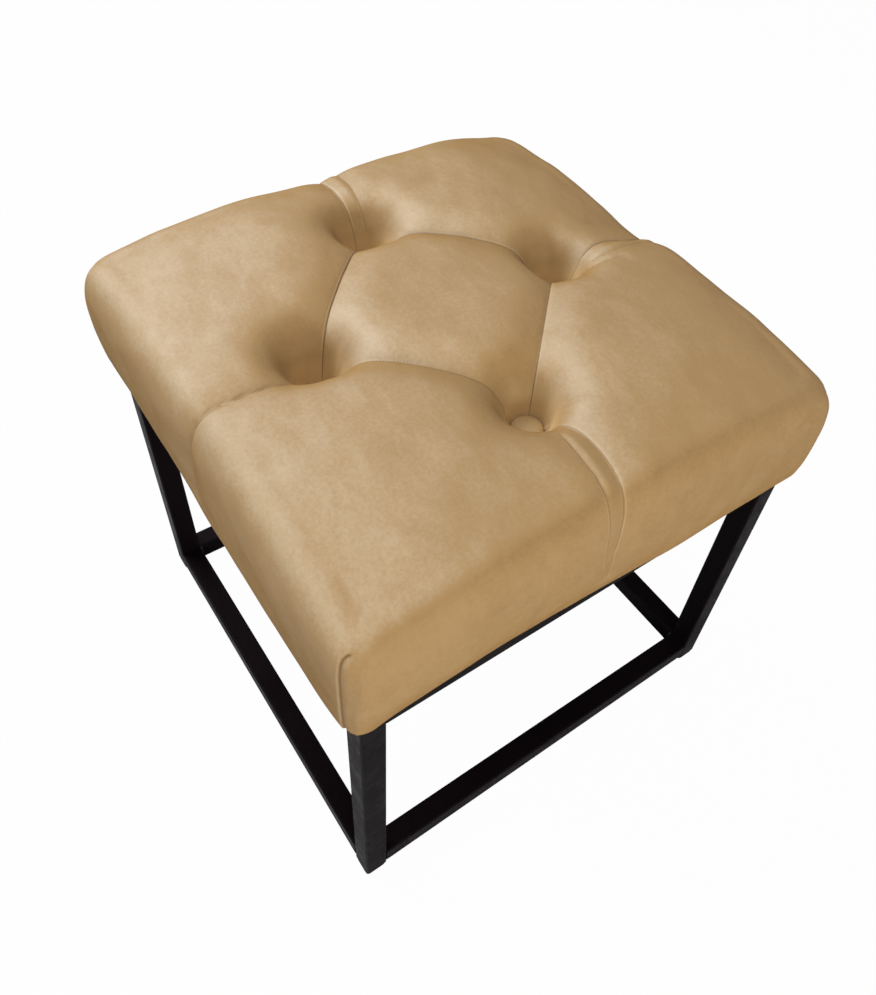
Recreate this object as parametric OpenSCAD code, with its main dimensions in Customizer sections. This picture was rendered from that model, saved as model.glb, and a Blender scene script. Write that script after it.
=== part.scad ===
// Pouf: a tufted velvet seat on an open cube of welded square tube.
// Origin at the middle of the footprint, on the floor. +Z up, millimetres.

/* [Frame] */
// Width and depth of the frame over the tubes
frame_w = 400; // [340:5:560]
// Height of the frame's top face above the floor
frame_h = 298; // [200:2:480]
// Outer side of the square tube
tube = 20; // [18:1:28]
// Wall of the square tube
tube_wall = 1.5; // [1.2:0.1:2.5]
// Outer corner radius of the square tube
tube_round = 1.8; // [1:0.1:2.5]
// Height of the lower rails above the floor
rail_clear = 8; // [7:1:40]
// Leg of the fillet welds
weld_leg = 2.5; // [1.5:0.1:2.9]

/* [Feet] */
// Height of the foot cap below the tube's end
foot_t = 5; // [3:0.5:7]
// Rounding of the foot cap's lower edges
foot_round = 3.5; // [1:0.5:4]
// Plan radius of the foot cap's corners
foot_corner = 5; // [2:0.5:6]
// Length of the foot cap's plug inside the tube
plug_len = 14; // [9:1:24]
// Thickness of each gripping rib on the plug
rib_t = 1.6; // [1:0.1:2.4]
// How far the ribs stand out of the plug's core
rib_out = 1.2; // [0.6:0.1:2]
// Gap between the ribs and the tube's inner wall
plug_gap = 0.05; // [0.02:0.01:0.2]

/* [Seat shape] */
// How far the seat's corners stand out past the frame
seat_over = 10; // [6:0.5:16]
// Height of the seat's shoulder above the frame
seat_rise = 107.5; // [90:0.5:150]
// Height of the crown above the shoulder
crown = 19; // [8:1:26]
// How much lower the corners lie than the sides
corner_drop = 17; // [4:1:26]
// Rounding of the seat's top edge
shoulder_round = 22.5; // [18:0.5:32]
// Plan radius of the seat's corners
corner_round = 15; // [13:0.5:24]
// Swell of the sides at half height
side_swell = 5.5; // [2:0.5:9]
// How far the sides are drawn in between the corners
side_draw = 1; // [0:0.5:2]
// Rounding of the seat's lower edge
lower_round = 7; // [5:0.5:8]
// How far the lower edge is drawn in between the corners
lower_draw = 3; // [0:0.5:3]

/* [Tufting] */
// Depth of the pit under each button
pit_depth = 56; // [20:1:58]
// Radius at which a pit is half as deep
pit_r = 29; // [22:1:34]
// Depth of the channels between the buttons
channel_depth = 8; // [3:0.5:12]
// Half width of the channels between the buttons
channel_w = 12; // [8:1:18]
// Depth of the pleats from the buttons over the edges
pleat_depth = 5.6; // [2:0.2:9]
// Half width of the pleats from the buttons over the edges
pleat_w = 14; // [8:1:18]

/* [Buttons] */
// Diameter of a covered button
button_d = 24; // [18:1:28]
// Height of a covered button
button_h = 8.5; // [6:0.5:12]
// How much higher the button's rim lies than its lowest point
button_lift = 4; // [2:0.1:4.2]
// Mean radius of the wire eye
eye_r = 2.2; // [2:0.1:2.6]
// Radius of the eye's wire
eye_wire_r = 0.6; // [0.4:0.05:0.7]
// Radius of the twine
twine_r = 0.8; // [0.5:0.05:0.9]
// Half distance between the two strands of twine
twine_gap = 2; // [1.8:0.1:2.4]
// Radius of the holes in the velvet and the wadding
thread_hole_r = 4; // [3.6:0.1:5]
// Radius of the holes in the foam
foam_hole_r = 6; // [5.2:0.2:10]
// Radius of the twine holes in the board
board_hole_r = 3.5; // [3.4:0.1:5]
// Radius of the washer that holds the twine
washer_r = 9; // [7:0.5:10]
// Thickness of the washer
washer_t = 1.5; // [1:0.1:2]
// Radius of the twine's knot
knot_r = 1.5; // [1:0.1:1.7]
// Length of the twine's knot
knot_len = 6.5; // [5.5:0.5:9]

/* [Upholstery] */
// Thickness of the velvet
velvet_t = 1.5; // [1:0.1:2]
// Thickness of the wadding
wadding_t = 6; // [3:0.5:7]
// Gap between two soft layers
soft_gap = 0.4; // [0.2:0.05:0.5]
// Width of the velvet turned under the board
hem_w = 38; // [32:1:60]

/* [Board] */
// Thickness of the seat board
board_t = 15; // [14:0.5:22]
// How far the board's edge lies inside the seat's sides
board_in = 15; // [15:0.5:18]
// Corner radius of the board
board_round = 8; // [4:1:16]
// Radius of the recess for a washer
recess_r = 11; // [10.5:0.5:14]
// Depth of the recess for a washer
recess_t = 5; // [5:0.2:7]

/* [Screws] */
// Radius of a seat screw's shank
screw_r = 2.2; // [1.6:0.1:2.6]
// Length of a seat screw under its head
screw_len = 32; // [27:0.5:33]
// Length of a seat screw's point
screw_tip = 4; // [2:0.5:6]
// Radius of a seat screw's head
screw_head_r = 4.5; // [4:0.1:6]
// Height of a seat screw's head
screw_head_t = 2.8; // [2:0.1:4]
// Depth of the cross recess in the head
cross_t = 1.6; // [0.8:0.1:1.8]
// Width of the cross recess
cross_w = 1; // [0.6:0.1:1.4]
// Length of the cross recess
cross_len = 5; // [3:0.5:6]
// Clearance round a screw in a drilled tube or cloth
screw_gap = 0.4; // [0.2:0.1:1]
// Clearance round a screw in its pilot hole
pilot_gap = 0.05; // [0.02:0.01:0.1]

/* [Staples and dust cover] */
// Thickness of the dust cover
dust_t = 0.5; // [0.3:0.1:0.8]
// Gap between the dust cover's edge and the rails
dust_gap = 5; // [2:0.5:8]
// Width of a staple's crown
staple_w = 10; // [8:0.5:12]
// Thickness of the staple wire
staple_t = 0.7; // [0.5:0.05:0.9]
// Length of a staple's legs
staple_leg = 8; // [6:0.5:10]
// Distance of the velvet's staples from the rails' inner face
staple_in = 5; // [2:0.5:9]
// Distance of the dust cover's staples from its edge
dust_staple_in = 8; // [7:0.5:12]
// Number of staples along one side of the velvet
staple_n = 9; // [5:1:12]
// Number of staples along one side of the dust cover
dust_staple_n = 6; // [3:1:8]

/* [Hidden] */

$fn = 48;
// Overrun of every cut
cut = 1;

// Colours
steel = [0.06, 0.055, 0.06];
velvet = [0.68, 0.54, 0.36];
plastic = [0.08, 0.08, 0.085];
plywood = [0.76, 0.6, 0.4];
foam = [0.93, 0.88, 0.68];
fibre = [0.94, 0.94, 0.92];
cloth = [0.1, 0.1, 0.1];
zinc = [0.72, 0.72, 0.7];
thread = [0.82, 0.78, 0.68];

// Frame
half_w = frame_w / 2;
tube_mid = half_w - tube / 2;
tube_in = half_w - tube;
bore = tube - 2 * tube_wall;
leg_len = frame_h - foot_t;
rail_len = frame_w - 2 * tube;
upper_z = frame_h - tube / 2;
lower_z = rail_clear + tube / 2;
flat_w = tube - 2 * tube_round;

// Seat: the layers share one form and differ in how far they lie inside it
seat_half = half_w + seat_over;
seat_z = frame_h;
shoulder_z = seat_z + seat_rise;
board_z = seat_z + velvet_t;
foam_z = board_z + board_t;
board_half = seat_half - board_in;
wadding_out = velvet_t + soft_gap;
wadding_in = wadding_out + wadding_t;
foam_in = wadding_in + soft_gap;
// Smallest rounding of a layer's lower edge
least_round = 1;
crown_power = 4;
draw_power = 8;
pit_power = 3;
// Radius of a pit's flat bottom, as a share of the button's
pit_flat_share = 1.2;
// How deep each pit is: left, front, right and back
pit_depth_shares = [1.08, 0.93, 1, 1];

// Steps round one quarter of the seat: even numbers of them between two pleats
quarter_steps = 12;
corner_step = quarter_steps / 2;
steps = 4 * quarter_steps;
// Where the steps lie along half a side and along half a channel
side_shares = [0, 0.06, 0.2, 0.45, 0.72];
channel_shares = [0, 0.118, 0.2, 0.32, 0.41, 0.47, 0.5];
// Rings of the top, from the middle to the channels and on to the shoulder
inner_ring_shares = [0.62, 0.86, 1];
outer_ring_shares = [0.45, 0.8, 1];
// Where the first of the outer rings lies: past a button, and past the middle of a channel
first_ring_shares = [0.22, 0.1];
// Rings of the shoulder's rounding
round_ring_shares = [0.5, 1];
// How much of a pleat's depth is left at the shoulder, and at the rings down the side
pleat_side_shares = [0.6, 0.5, 0.2];
rings = len(inner_ring_shares) + 1 + len(outer_ring_shares) + len(round_ring_shares) + len(pleat_side_shares);
// The buttons: left, front, right and back
button_shares = [[-0.533, 0.03], [-0.03, -0.505], [0.505, 0.033], [-0.024, 0.557]];
screw_share = 0.6;

function pull(p, q, share) = p * (1 - share) + q * share;
function quarter_turn(q, p) = let(a = 180 + 90 * q)
    [p.x * cos(a) - p.y * sin(a), p.x * sin(a) + p.y * cos(a)];
function button_at(i) = button_shares[i % 4] * seat_half;

// A point of the seat's plan outline: quarter q, step k
function side_point(q, k, half, r) =
    let(v = k == corner_step - 1 ? half - r : side_shares[k] * half,
        u = half - side_draw * (1 - pow(v / half, 2)))
    [u, v];
function outline_point(q, k, half, r) =
    k == corner_step ? quarter_turn(q, (half - r * (1 - sqrt(0.5))) * [1, 1])
    : k < corner_step ? quarter_turn(q, side_point(q, k, half, r))
    : let(p = side_point(q, quarter_steps - k, half, r)) quarter_turn(q + 1, [p.x, -p.y]);
function channel_share(k) = k <= corner_step ? channel_shares[k] : 1 - channel_shares[quarter_steps - k];
function channel_point(q, k) = pull(button_at(q), button_at(q + 1), channel_share(k));

// Distance of a point from a straight line between two others
function line_distance(p, a, b) =
    let(t = max(0, min(1, (p - a) * (b - a) / ((b - a) * (b - a)))))
    norm(p - a - t * (b - a));
function bell(d, w) = exp(-pow(d / w, 2));
function pit_share(p, i) =
    let(flat = pit_flat_share * button_d / 2)
    1 / (1 + pow(max(0, norm(p - button_at(i)) - flat) / (pit_r - flat), pit_power));

// Height of the top at a point of the plan
function top_z(p) =
    let(x = p.x / seat_half,
        y = p.y / seat_half,
        shares = [for (i = [0:3]) pit_share(p, i)],
        pit = max(shares),
        to_channel = min([for (i = [0:3]) line_distance(p, button_at(i), button_at(i + 1))]),
        to_pleat = min([for (i = [0:3]) line_distance(p, button_at(i), quarter_turn(i, [seat_half, 0]))]))
    shoulder_z
    + crown * (1 - pow(x, crown_power)) * (1 - pow(y, crown_power))
    - corner_drop * pow(x * y, 2)
    - pit_depth * max([for (i = [0:3]) shares[i] * pit_depth_shares[i]])
    - (channel_depth * bell(to_channel, channel_w) + pleat_depth * bell(to_pleat, pleat_w)) * (1 - pit);

// One column of a layer's surface, from the top down to floor_z
function column(q, k, inset, floor_z) =
    let(half = seat_half - inset,
        r = corner_round - inset,
        e = shoulder_round - inset,
        low_r = max(lower_round - inset, least_round),
        inner = channel_point(q, k),
        first_ring = pull(first_ring_shares[0], first_ring_shares[1], min(k, quarter_steps - k) / corner_step),
        full = outline_point(q, k, seat_half, corner_round),
        start = full * (1 - shoulder_round / seat_half),
        edge = outline_point(q, k, half, r),
        n = edge / norm(edge),
        away = abs(k < corner_step ? edge * quarter_turn(q, [0, 1]) : edge * quarter_turn(q + 1, [0, 1])),
        dent = pleat_depth * bell(away, pleat_w),
        start_z = top_z(start) - inset,
        side_top = start_z - e,
        low_z = seat_z + lower_round,
        mid_z = (side_top + low_z) / 2,
        end_z = floor_z + low_r,
        below = max(0, min(1, (mid_z - end_z) / (mid_z - low_z))),
        end_swell = side_swell * (1 - below),
        end_dent = dent * pull(pleat_side_shares[1], pleat_side_shares[2], below),
        draw = below * lower_draw * (1 - pow(min(abs(edge.x), abs(edge.y)) / half, draw_power)),
        end_out = end_swell - end_dent - draw)
    concat(
        [for (s = inner_ring_shares) let(p = inner * s) [p.x, p.y, top_z(p) - inset]],
        [for (s = concat(first_ring, outer_ring_shares)) let(p = pull(inner, start, s)) [p.x, p.y, top_z(p) - inset]],
        [for (s = round_ring_shares)
            let(p = pull(start, edge, sin(90 * s)) - n * dent * pleat_side_shares[0] * s)
            [p.x, p.y, start_z - e * (1 - cos(90 * s))]],
        [let(p = edge + n * (side_swell - dent * pleat_side_shares[1])) [p.x, p.y, mid_z],
            let(p = edge + n * end_out) [p.x, p.y, end_z],
            let(p = edge * (1 - low_r / half) + n * end_out) [p.x, p.y, floor_z]]);

function columns(inset, floor_z) =
    [for (q = [0:3]) for (k = [0:quarter_steps - 1]) column(q, k, inset, floor_z)];
function backwards(a) = [for (i = [len(a) - 1:-1:0]) a[i]];

// A closed body whose columns run from one middle point to another. From ring turn on they run back
// along the same rings, and each band there is cut into the same triangles as its twin.
module closed_form(cols, first, last, turn) {
    n = len(cols[0]);
    end = 1 + steps * n;
    function at(c, r) = 1 + (c % steps) * n + r;
    function slant(c, r) =
        let(band = r < turn ? r : n - 2 - r,
            rising = (c % quarter_steps < corner_step) == (band < len(inner_ring_shares) - 1))
        r < turn ? rising : !rising;
    function band_faces(c, r) = slant(c, r)
        ? [[at(c, r), at(c + 1, r), at(c + 1, r + 1)], [at(c, r), at(c + 1, r + 1), at(c, r + 1)]]
        : [[at(c, r), at(c + 1, r), at(c, r + 1)], [at(c + 1, r), at(c + 1, r + 1), at(c, r + 1)]];
    points = concat([first], [for (c = cols) each c], [last]);
    faces = concat(
        [for (c = [0:steps - 1]) [0, at(c + 1, 0), at(c, 0)]],
        [for (c = [0:steps - 1]) for (r = [0:n - 2]) each band_faces(c, r)],
        [for (c = [0:steps - 1]) [at(c, n - 1), at(c + 1, n - 1), end]]);
    polyhedron(points = points, faces = faces);
}

function top_middle(inset) = [0, 0, top_z([0, 0]) - inset];

module at_buttons() {
    for (i = [0:3]) translate(button_at(i)) children();
}

// Places of the seat screws: two on each upper rail
module at_screws() {
    for (a = [0:90:270]) rotate(a) for (s = [-1, 1]) translate([s * screw_share * half_w, tube_mid, 0]) children();
}

module rounded_square(w, r) {
    square([w, w - 2 * r], center = true);
    square([w - 2 * r, w], center = true);
    for (x = [-1, 1]) for (y = [-1, 1]) translate([x, y] * (w / 2 - r)) circle(r);
}

// Frame
module square_tube(length) {
    linear_extrude(length) difference() {
        rounded_square(tube, tube_round);
        square(bore, center = true);
    }
}

module leg(x, y) {
    color(steel) translate([x * tube_mid, y * tube_mid, foot_t]) square_tube(leg_len);
}

module rail(a, z) {
    rotate(a) translate([-rail_len / 2, -tube_mid, z]) rotate([0, 90, 0]) square_tube(rail_len);
}

module lower_rail(a) {
    color(steel) rail(a, lower_z);
}

module upper_rail(a) {
    color(steel) difference() {
        rail(a, upper_z);
        translate([0, 0, upper_z - tube / 2 - cut]) at_screws() cylinder(h = tube + 2 * cut, r = screw_r + screw_gap);
    }
}

// A bead of weld along Z, filling the corner between +X and +Y
module bead(length) {
    translate([0, 0, -length / 2]) linear_extrude(length) intersection() {
        circle(weld_leg);
        square(weld_leg);
    }
}

// The beads of one ring of rails: up the inner corners, and under each rail's end
module ring_welds(z) {
    for (a = [0:90:270]) rotate(a) {
        translate([-tube_in, -tube_in, z]) bead(flat_w);
        translate([-tube_in, -tube_mid, z - tube / 2]) rotate([90, 0, 0]) mirror([0, 1, 0]) bead(flat_w);
        translate([-tube_mid, -tube_in, z - tube / 2]) rotate([0, 90, 0]) bead(flat_w);
    }
}

module lower_welds() {
    color(steel) ring_welds(lower_z);
}

module upper_welds() {
    color(steel) ring_welds(upper_z);
}

// Feet
module foot_side() {
    linear_extrude(tube, center = true) {
        translate([-tube / 2, foot_round]) square([tube, foot_t - foot_round]);
        translate([-tube / 2 + foot_round, 0]) square([tube - 2 * foot_round, foot_t]);
        for (x = [-1, 1]) translate([x * (tube / 2 - foot_round), foot_round]) intersection() {
            circle(foot_round);
            translate([-foot_round, -foot_round]) square([2 * foot_round, foot_round]);
        }
    }
}

module foot(x, y) {
    core = bore - 2 * plug_gap - 2 * rib_out;
    color(plastic) translate([x * tube_mid, y * tube_mid, 0]) {
        intersection() {
            rotate([90, 0, 0]) foot_side();
            rotate([90, 0, 90]) foot_side();
            linear_extrude(foot_t) rounded_square(tube, foot_corner);
        }
        translate([-core / 2, -core / 2, foot_t]) cube([core, core, plug_len]);
        for (i = [1:3]) translate([0, 0, foot_t + i * plug_len / 4]) linear_extrude(rib_t)
            square(bore - 2 * plug_gap, center = true);
    }
}

// Seat
module seat_board() {
    color(plywood) difference() {
        translate([0, 0, board_z]) linear_extrude(board_t) rounded_square(2 * board_half, board_round);
        translate([0, 0, board_z - cut]) {
            at_buttons() cylinder(h = board_t + 2 * cut, r = board_hole_r);
            at_buttons() cylinder(h = recess_t + cut, r = recess_r);
        }
        translate([0, 0, frame_h - tube]) at_screws() cylinder(h = screw_len, r = screw_r + pilot_gap);
    }
}

module seat_foam() {
    color(foam) difference() {
        closed_form(columns(foam_in, foam_z), top_middle(foam_in), [0, 0, foam_z], rings);
        translate([0, 0, foam_z - cut]) at_buttons() cylinder(h = seat_rise + crown, r = foam_hole_r);
    }
}

module seat_wadding() {
    out = columns(wadding_out, seat_z + wadding_out);
    in = columns(wadding_in, seat_z + wadding_out);
    color(fibre) difference() {
        closed_form([for (c = [0:steps - 1]) concat(out[c], backwards(in[c]))],
            top_middle(wadding_out), top_middle(wadding_in), rings);
        translate([0, 0, foam_z]) at_buttons() cylinder(h = seat_rise + crown, r = thread_hole_r);
    }
}

module velvet_cover() {
    out = columns(0, seat_z);
    in = columns(velvet_t, seat_z + velvet_t);
    hem_half = board_half - hem_w;
    hem = [for (q = [0:3]) for (k = [0:quarter_steps - 1]) outline_point(q, k, hem_half, board_round)];
    color(velvet) difference() {
        closed_form([for (c = [0:steps - 1]) concat(out[c],
                [[hem[c].x, hem[c].y, seat_z], [hem[c].x, hem[c].y, seat_z + velvet_t]],
                backwards(in[c]))],
            top_middle(0), top_middle(velvet_t), rings + 1);
        translate([0, 0, foam_z]) at_buttons() cylinder(h = seat_rise + crown, r = thread_hole_r);
        translate([0, 0, seat_z - cut]) at_screws() cylinder(h = velvet_t + 2 * cut, r = screw_r + screw_gap);
    }
}

// Buttons
function button_z(i) = top_z(button_at(i)) + soft_gap;
function eye_z(i) = button_z(i) - eye_r + eye_wire_r;

module wire_ring(r, wire) {
    rotate_extrude() translate([r, 0]) circle(wire);
}

// The covered cap is a low dome over a lens-shaped underside
module button_cap() {
    r = button_d / 2;
    top = button_h - button_lift;
    top_r = (r * r + top * top) / (2 * top);
    low_r = (r * r + button_lift * button_lift) / (2 * button_lift);
    intersection() {
        translate([0, 0, low_r]) sphere(low_r);
        translate([0, 0, button_h - top_r]) sphere(top_r);
    }
}

module button(i) {
    color(velvet) translate(button_at(i)) {
        translate([0, 0, button_z(i)]) button_cap();
        translate([0, 0, eye_z(i)]) rotate([90, 0, 0]) wire_ring(eye_r, eye_wire_r);
    }
}

// Twine: a loop through each eye, down to a knot under its washer
twine_end_z = board_z + recess_t - washer_t;
// How far a strand runs into its loop, and how much thinner it is
strand_join = 0.05;

module tufting_twine() {
    color(thread) for (i = [0:3]) {
        loop_z = eye_z(i) - eye_r;
        strand = loop_z - twine_end_z + knot_r;
        translate([button_at(i).x, button_at(i).y, loop_z]) {
            rotate([0, 90, 0]) intersection() {
                wire_ring(twine_gap, twine_r);
                translate([-2 * twine_gap, -2 * twine_gap, -twine_gap])
                    cube([2 * twine_gap, 4 * twine_gap, 2 * twine_gap]);
            }
            for (s = [-1, 1]) translate([0, s * twine_gap, -strand])
                cylinder(h = strand + strand_join, r = twine_r - strand_join);
            translate([0, knot_len / 2, -strand]) rotate([90, 0, 0]) cylinder(h = knot_len, r = knot_r);
        }
    }
}

module twine_washers() {
    color(plastic) at_buttons() translate([0, 0, twine_end_z]) difference() {
        cylinder(h = washer_t, r = washer_r);
        for (s = [-1, 1]) translate([0, s * twine_gap, -cut]) cylinder(h = washer_t + 2 * cut, r = twine_r + pilot_gap);
    }
}

// Seat screws, pan heads down
module seat_screw() {
    difference() {
        union() {
            cylinder(h = screw_len - screw_tip, r = screw_r);
            translate([0, 0, screw_len - screw_tip]) cylinder(h = screw_tip, r1 = screw_r, r2 = 0);
            translate([0, 0, -screw_head_t]) cylinder(h = screw_head_t, r1 = screw_head_r - screw_head_t / 2, r2 = screw_head_r);
        }
        for (a = [0, 90]) rotate(a) translate([0, 0, -screw_head_t])
            cube([cross_len, cross_w, 2 * cross_t], center = true);
    }
}

module seat_screws() {
    color(zinc) translate([0, 0, frame_h - tube]) at_screws() seat_screw();
}

// Staples, driven up into the board with the crown at z = 0
module staple() {
    translate([-staple_w / 2, -staple_t / 2, 0]) {
        cube([staple_w, staple_t, staple_t]);
        for (x = [0, staple_w - staple_t]) translate([x, 0, 0]) cube([staple_t, staple_t, staple_leg]);
    }
}

// A row of n staples on each of the four sides, at a distance from the middle
module staple_rows(n, away, reach) {
    for (a = [0:90:270]) rotate(a) for (i = [0:n - 1])
        translate([reach * (2 * (i + 0.5) / n - 1), away, 0]) staple();
}

dust_half = tube_in - dust_gap;
dust_staple_away = dust_half - dust_staple_in;

module cover_staples() {
    color(zinc) translate([0, 0, seat_z]) staple_rows(staple_n, tube_in - staple_in, tube_in - 2 * staple_in);
}

module dust_cover() {
    color(cloth) translate([-dust_half, -dust_half, seat_z - dust_t]) cube([2 * dust_half, 2 * dust_half, dust_t]);
}

module dust_cover_staples() {
    color(zinc) translate([0, 0, seat_z - dust_t - staple_t])
        staple_rows(dust_staple_n, dust_staple_away, dust_staple_away - dust_staple_in);
}

leg(-1, -1);  // leg_front
leg(1, -1);  // leg_right
leg(1, 1);  // leg_back
leg(-1, 1);  // leg_left
lower_rail(0);  // lower_rail_front
lower_rail(90);  // lower_rail_right
lower_rail(180);  // lower_rail_back
lower_rail(270);  // lower_rail_left
upper_rail(0);  // upper_rail_front
upper_rail(90);  // upper_rail_right
upper_rail(180);  // upper_rail_back
upper_rail(270);  // upper_rail_left
lower_welds();
upper_welds();
foot(-1, -1);  // foot_front
foot(1, -1);  // foot_right
foot(1, 1);  // foot_back
foot(-1, 1);  // foot_left
seat_board();
seat_foam();
seat_wadding();
velvet_cover();
button(0);  // button_left
button(1);  // button_front
button(2);  // button_right
button(3);  // button_back
tufting_twine();
twine_washers();
seat_screws();
cover_staples();
dust_cover();
dust_cover_staples();
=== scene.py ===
# Pouf: a tufted velvet seat on a welded square-tube frame. Metres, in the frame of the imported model.
import math
import bpy
import numpy as np
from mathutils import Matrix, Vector


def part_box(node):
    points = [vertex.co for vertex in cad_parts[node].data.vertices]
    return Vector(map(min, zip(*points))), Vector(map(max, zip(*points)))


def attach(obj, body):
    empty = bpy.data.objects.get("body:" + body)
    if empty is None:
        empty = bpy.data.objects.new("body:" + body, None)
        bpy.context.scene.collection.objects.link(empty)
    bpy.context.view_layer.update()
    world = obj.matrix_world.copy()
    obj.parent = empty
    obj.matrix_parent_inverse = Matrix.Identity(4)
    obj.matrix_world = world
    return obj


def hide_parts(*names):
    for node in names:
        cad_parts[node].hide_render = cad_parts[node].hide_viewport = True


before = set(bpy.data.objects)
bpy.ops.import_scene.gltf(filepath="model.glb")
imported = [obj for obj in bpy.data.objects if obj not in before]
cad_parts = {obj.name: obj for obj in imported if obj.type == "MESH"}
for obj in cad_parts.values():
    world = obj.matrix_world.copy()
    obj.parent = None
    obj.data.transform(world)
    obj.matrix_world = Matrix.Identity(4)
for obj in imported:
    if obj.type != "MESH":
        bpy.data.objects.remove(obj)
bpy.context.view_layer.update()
millimetre = 0.001
fullTurn = 2 * math.pi
quarters = [k * math.pi / 2 for k in range(4)]


# Node helpers
def setInputs(tree, node, inputs):
    for name, value in inputs.items():
        if isinstance(value, bpy.types.NodeSocket):
            tree.links.new(value, node.inputs[name])
        else:
            node.inputs[name].default_value = value


def addNode(tree, kind, inputs=None, **settings):
    made = tree.nodes.new(kind)
    for name, value in settings.items():
        setattr(made, name, value)
    setInputs(tree, made, inputs or {})
    return made


def mathNode(tree, operation, *values):
    return addNode(tree, "ShaderNodeMath", dict(enumerate(values)), operation=operation).outputs[0]


def mixColour(tree, factor, a, b):
    colours = {0: factor, 6: a, 7: b}
    return addNode(tree, "ShaderNodeMix", colours, data_type="RGBA", clamp_factor=True).outputs[2]


def fitRange(tree, value, fromLow, fromHigh, toLow=0.0, toHigh=1.0, smooth=True):
    limits = {"Value": value, "From Min": fromLow, "From Max": fromHigh, "To Min": toLow, "To Max": toHigh}
    curve = "SMOOTHSTEP" if smooth else "LINEAR"
    return addNode(tree, "ShaderNodeMapRange", limits, interpolation_type=curve).outputs[0]


def noiseNode(tree, place, scale, detail, roughness=0.5, distortion=0.0):
    return addNode(tree, "ShaderNodeTexNoise", {"Vector": place, "Scale": scale, "Detail": detail,
        "Roughness": roughness, "Distortion": distortion}).outputs["Fac"]


def mapPlace(tree, place, scale=(1, 1, 1), rotation=(0, 0, 0)):
    inputs = {"Vector": place, "Scale": scale, "Rotation": rotation}
    return addNode(tree, "ShaderNodeMapping", inputs).outputs[0]


def bumpNormal(tree, height, strength, distance):
    inputs = {"Height": height, "Strength": strength, "Distance": distance}
    return addNode(tree, "ShaderNodeBump", inputs).outputs["Normal"]


# A shared effect with one output. An input given as None is a vector, and any other is a number.
def makeGroup(name, given, result, build):
    tree = bpy.data.node_groups.new(name, "ShaderNodeTree")
    for socketName, value in given.items():
        kind = "NodeSocketVector" if value is None else "NodeSocketFloat"
        socket = tree.interface.new_socket(name=socketName, in_out="INPUT", socket_type=kind)
        if value is not None:
            socket.default_value = value
    tree.interface.new_socket(name=result, in_out="OUTPUT", socket_type="NodeSocketFloat")
    made = build(tree, tree.nodes.new("NodeGroupInput").outputs)
    tree.links.new(made, tree.nodes.new("NodeGroupOutput").inputs[result])
    return tree


def useGroup(tree, group, inputs):
    return addNode(tree, "ShaderNodeGroup", inputs, node_tree=group).outputs[0]


# Patches of uneven tone
def buildPatches(tree, given):
    coarse = noiseNode(tree, given["Place"], given["Scale"], 4.0, 0.55, 0.6)
    fineScale = mathNode(tree, "MULTIPLY", given["Scale"], 4.7)
    fine = noiseNode(tree, given["Place"], fineScale, 3.0, 0.5, 1.2)
    both = mathNode(tree, "MULTIPLY_ADD", fine, 0.4, mathNode(tree, "MULTIPLY", coarse, 0.6))
    return fitRange(tree, both, 0.36, 0.64)


# The height of a fine grain, with a softer grain below it
def buildGrain(tree, given):
    small = noiseNode(tree, given["Place"], given["Scale"], 2.0, 0.6)
    large = noiseNode(tree, given["Place"], mathNode(tree, "MULTIPLY", given["Scale"], 0.23), 2.0)
    return mathNode(tree, "MULTIPLY_ADD", large, given["Soft share"], small)


# The rounded edges of a square tube, from the distances to its middle line
def buildTubeEdge(tree, given):
    across = mathNode(tree, "MINIMUM", given["First distance"], given["Second distance"])
    return fitRange(tree, across, given["Start"], given["End"])


patches = makeGroup("patches", {"Place": None, "Scale": 10.0}, "Mask", buildPatches)
grain = makeGroup("grain", {"Place": None, "Scale": 900.0, "Soft share": 0.8}, "Height", buildGrain)
tubeEdge = makeGroup("tube edge", {"First distance": 0.0, "Second distance": 0.0, "Start": 0.0084,
    "End": 0.0098}, "Mask", buildTubeEdge)


def patchMask(tree, place, scale):
    return useGroup(tree, patches, {"Place": place, "Scale": scale})


def grainHeight(tree, place, scale, softShare):
    return useGroup(tree, grain, {"Place": place, "Scale": scale, "Soft share": softShare})


def newMaterial(name):
    made = bpy.data.materials.new(name)
    made.use_nodes = True
    tree = made.node_tree
    tree.nodes.clear()
    shader = tree.nodes.new("ShaderNodeBsdfPrincipled")
    tree.links.new(shader.outputs[0], tree.nodes.new("ShaderNodeOutputMaterial").inputs[0])
    return made, tree, shader, addNode(tree, "ShaderNodeTexCoord").outputs["Object"]


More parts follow.
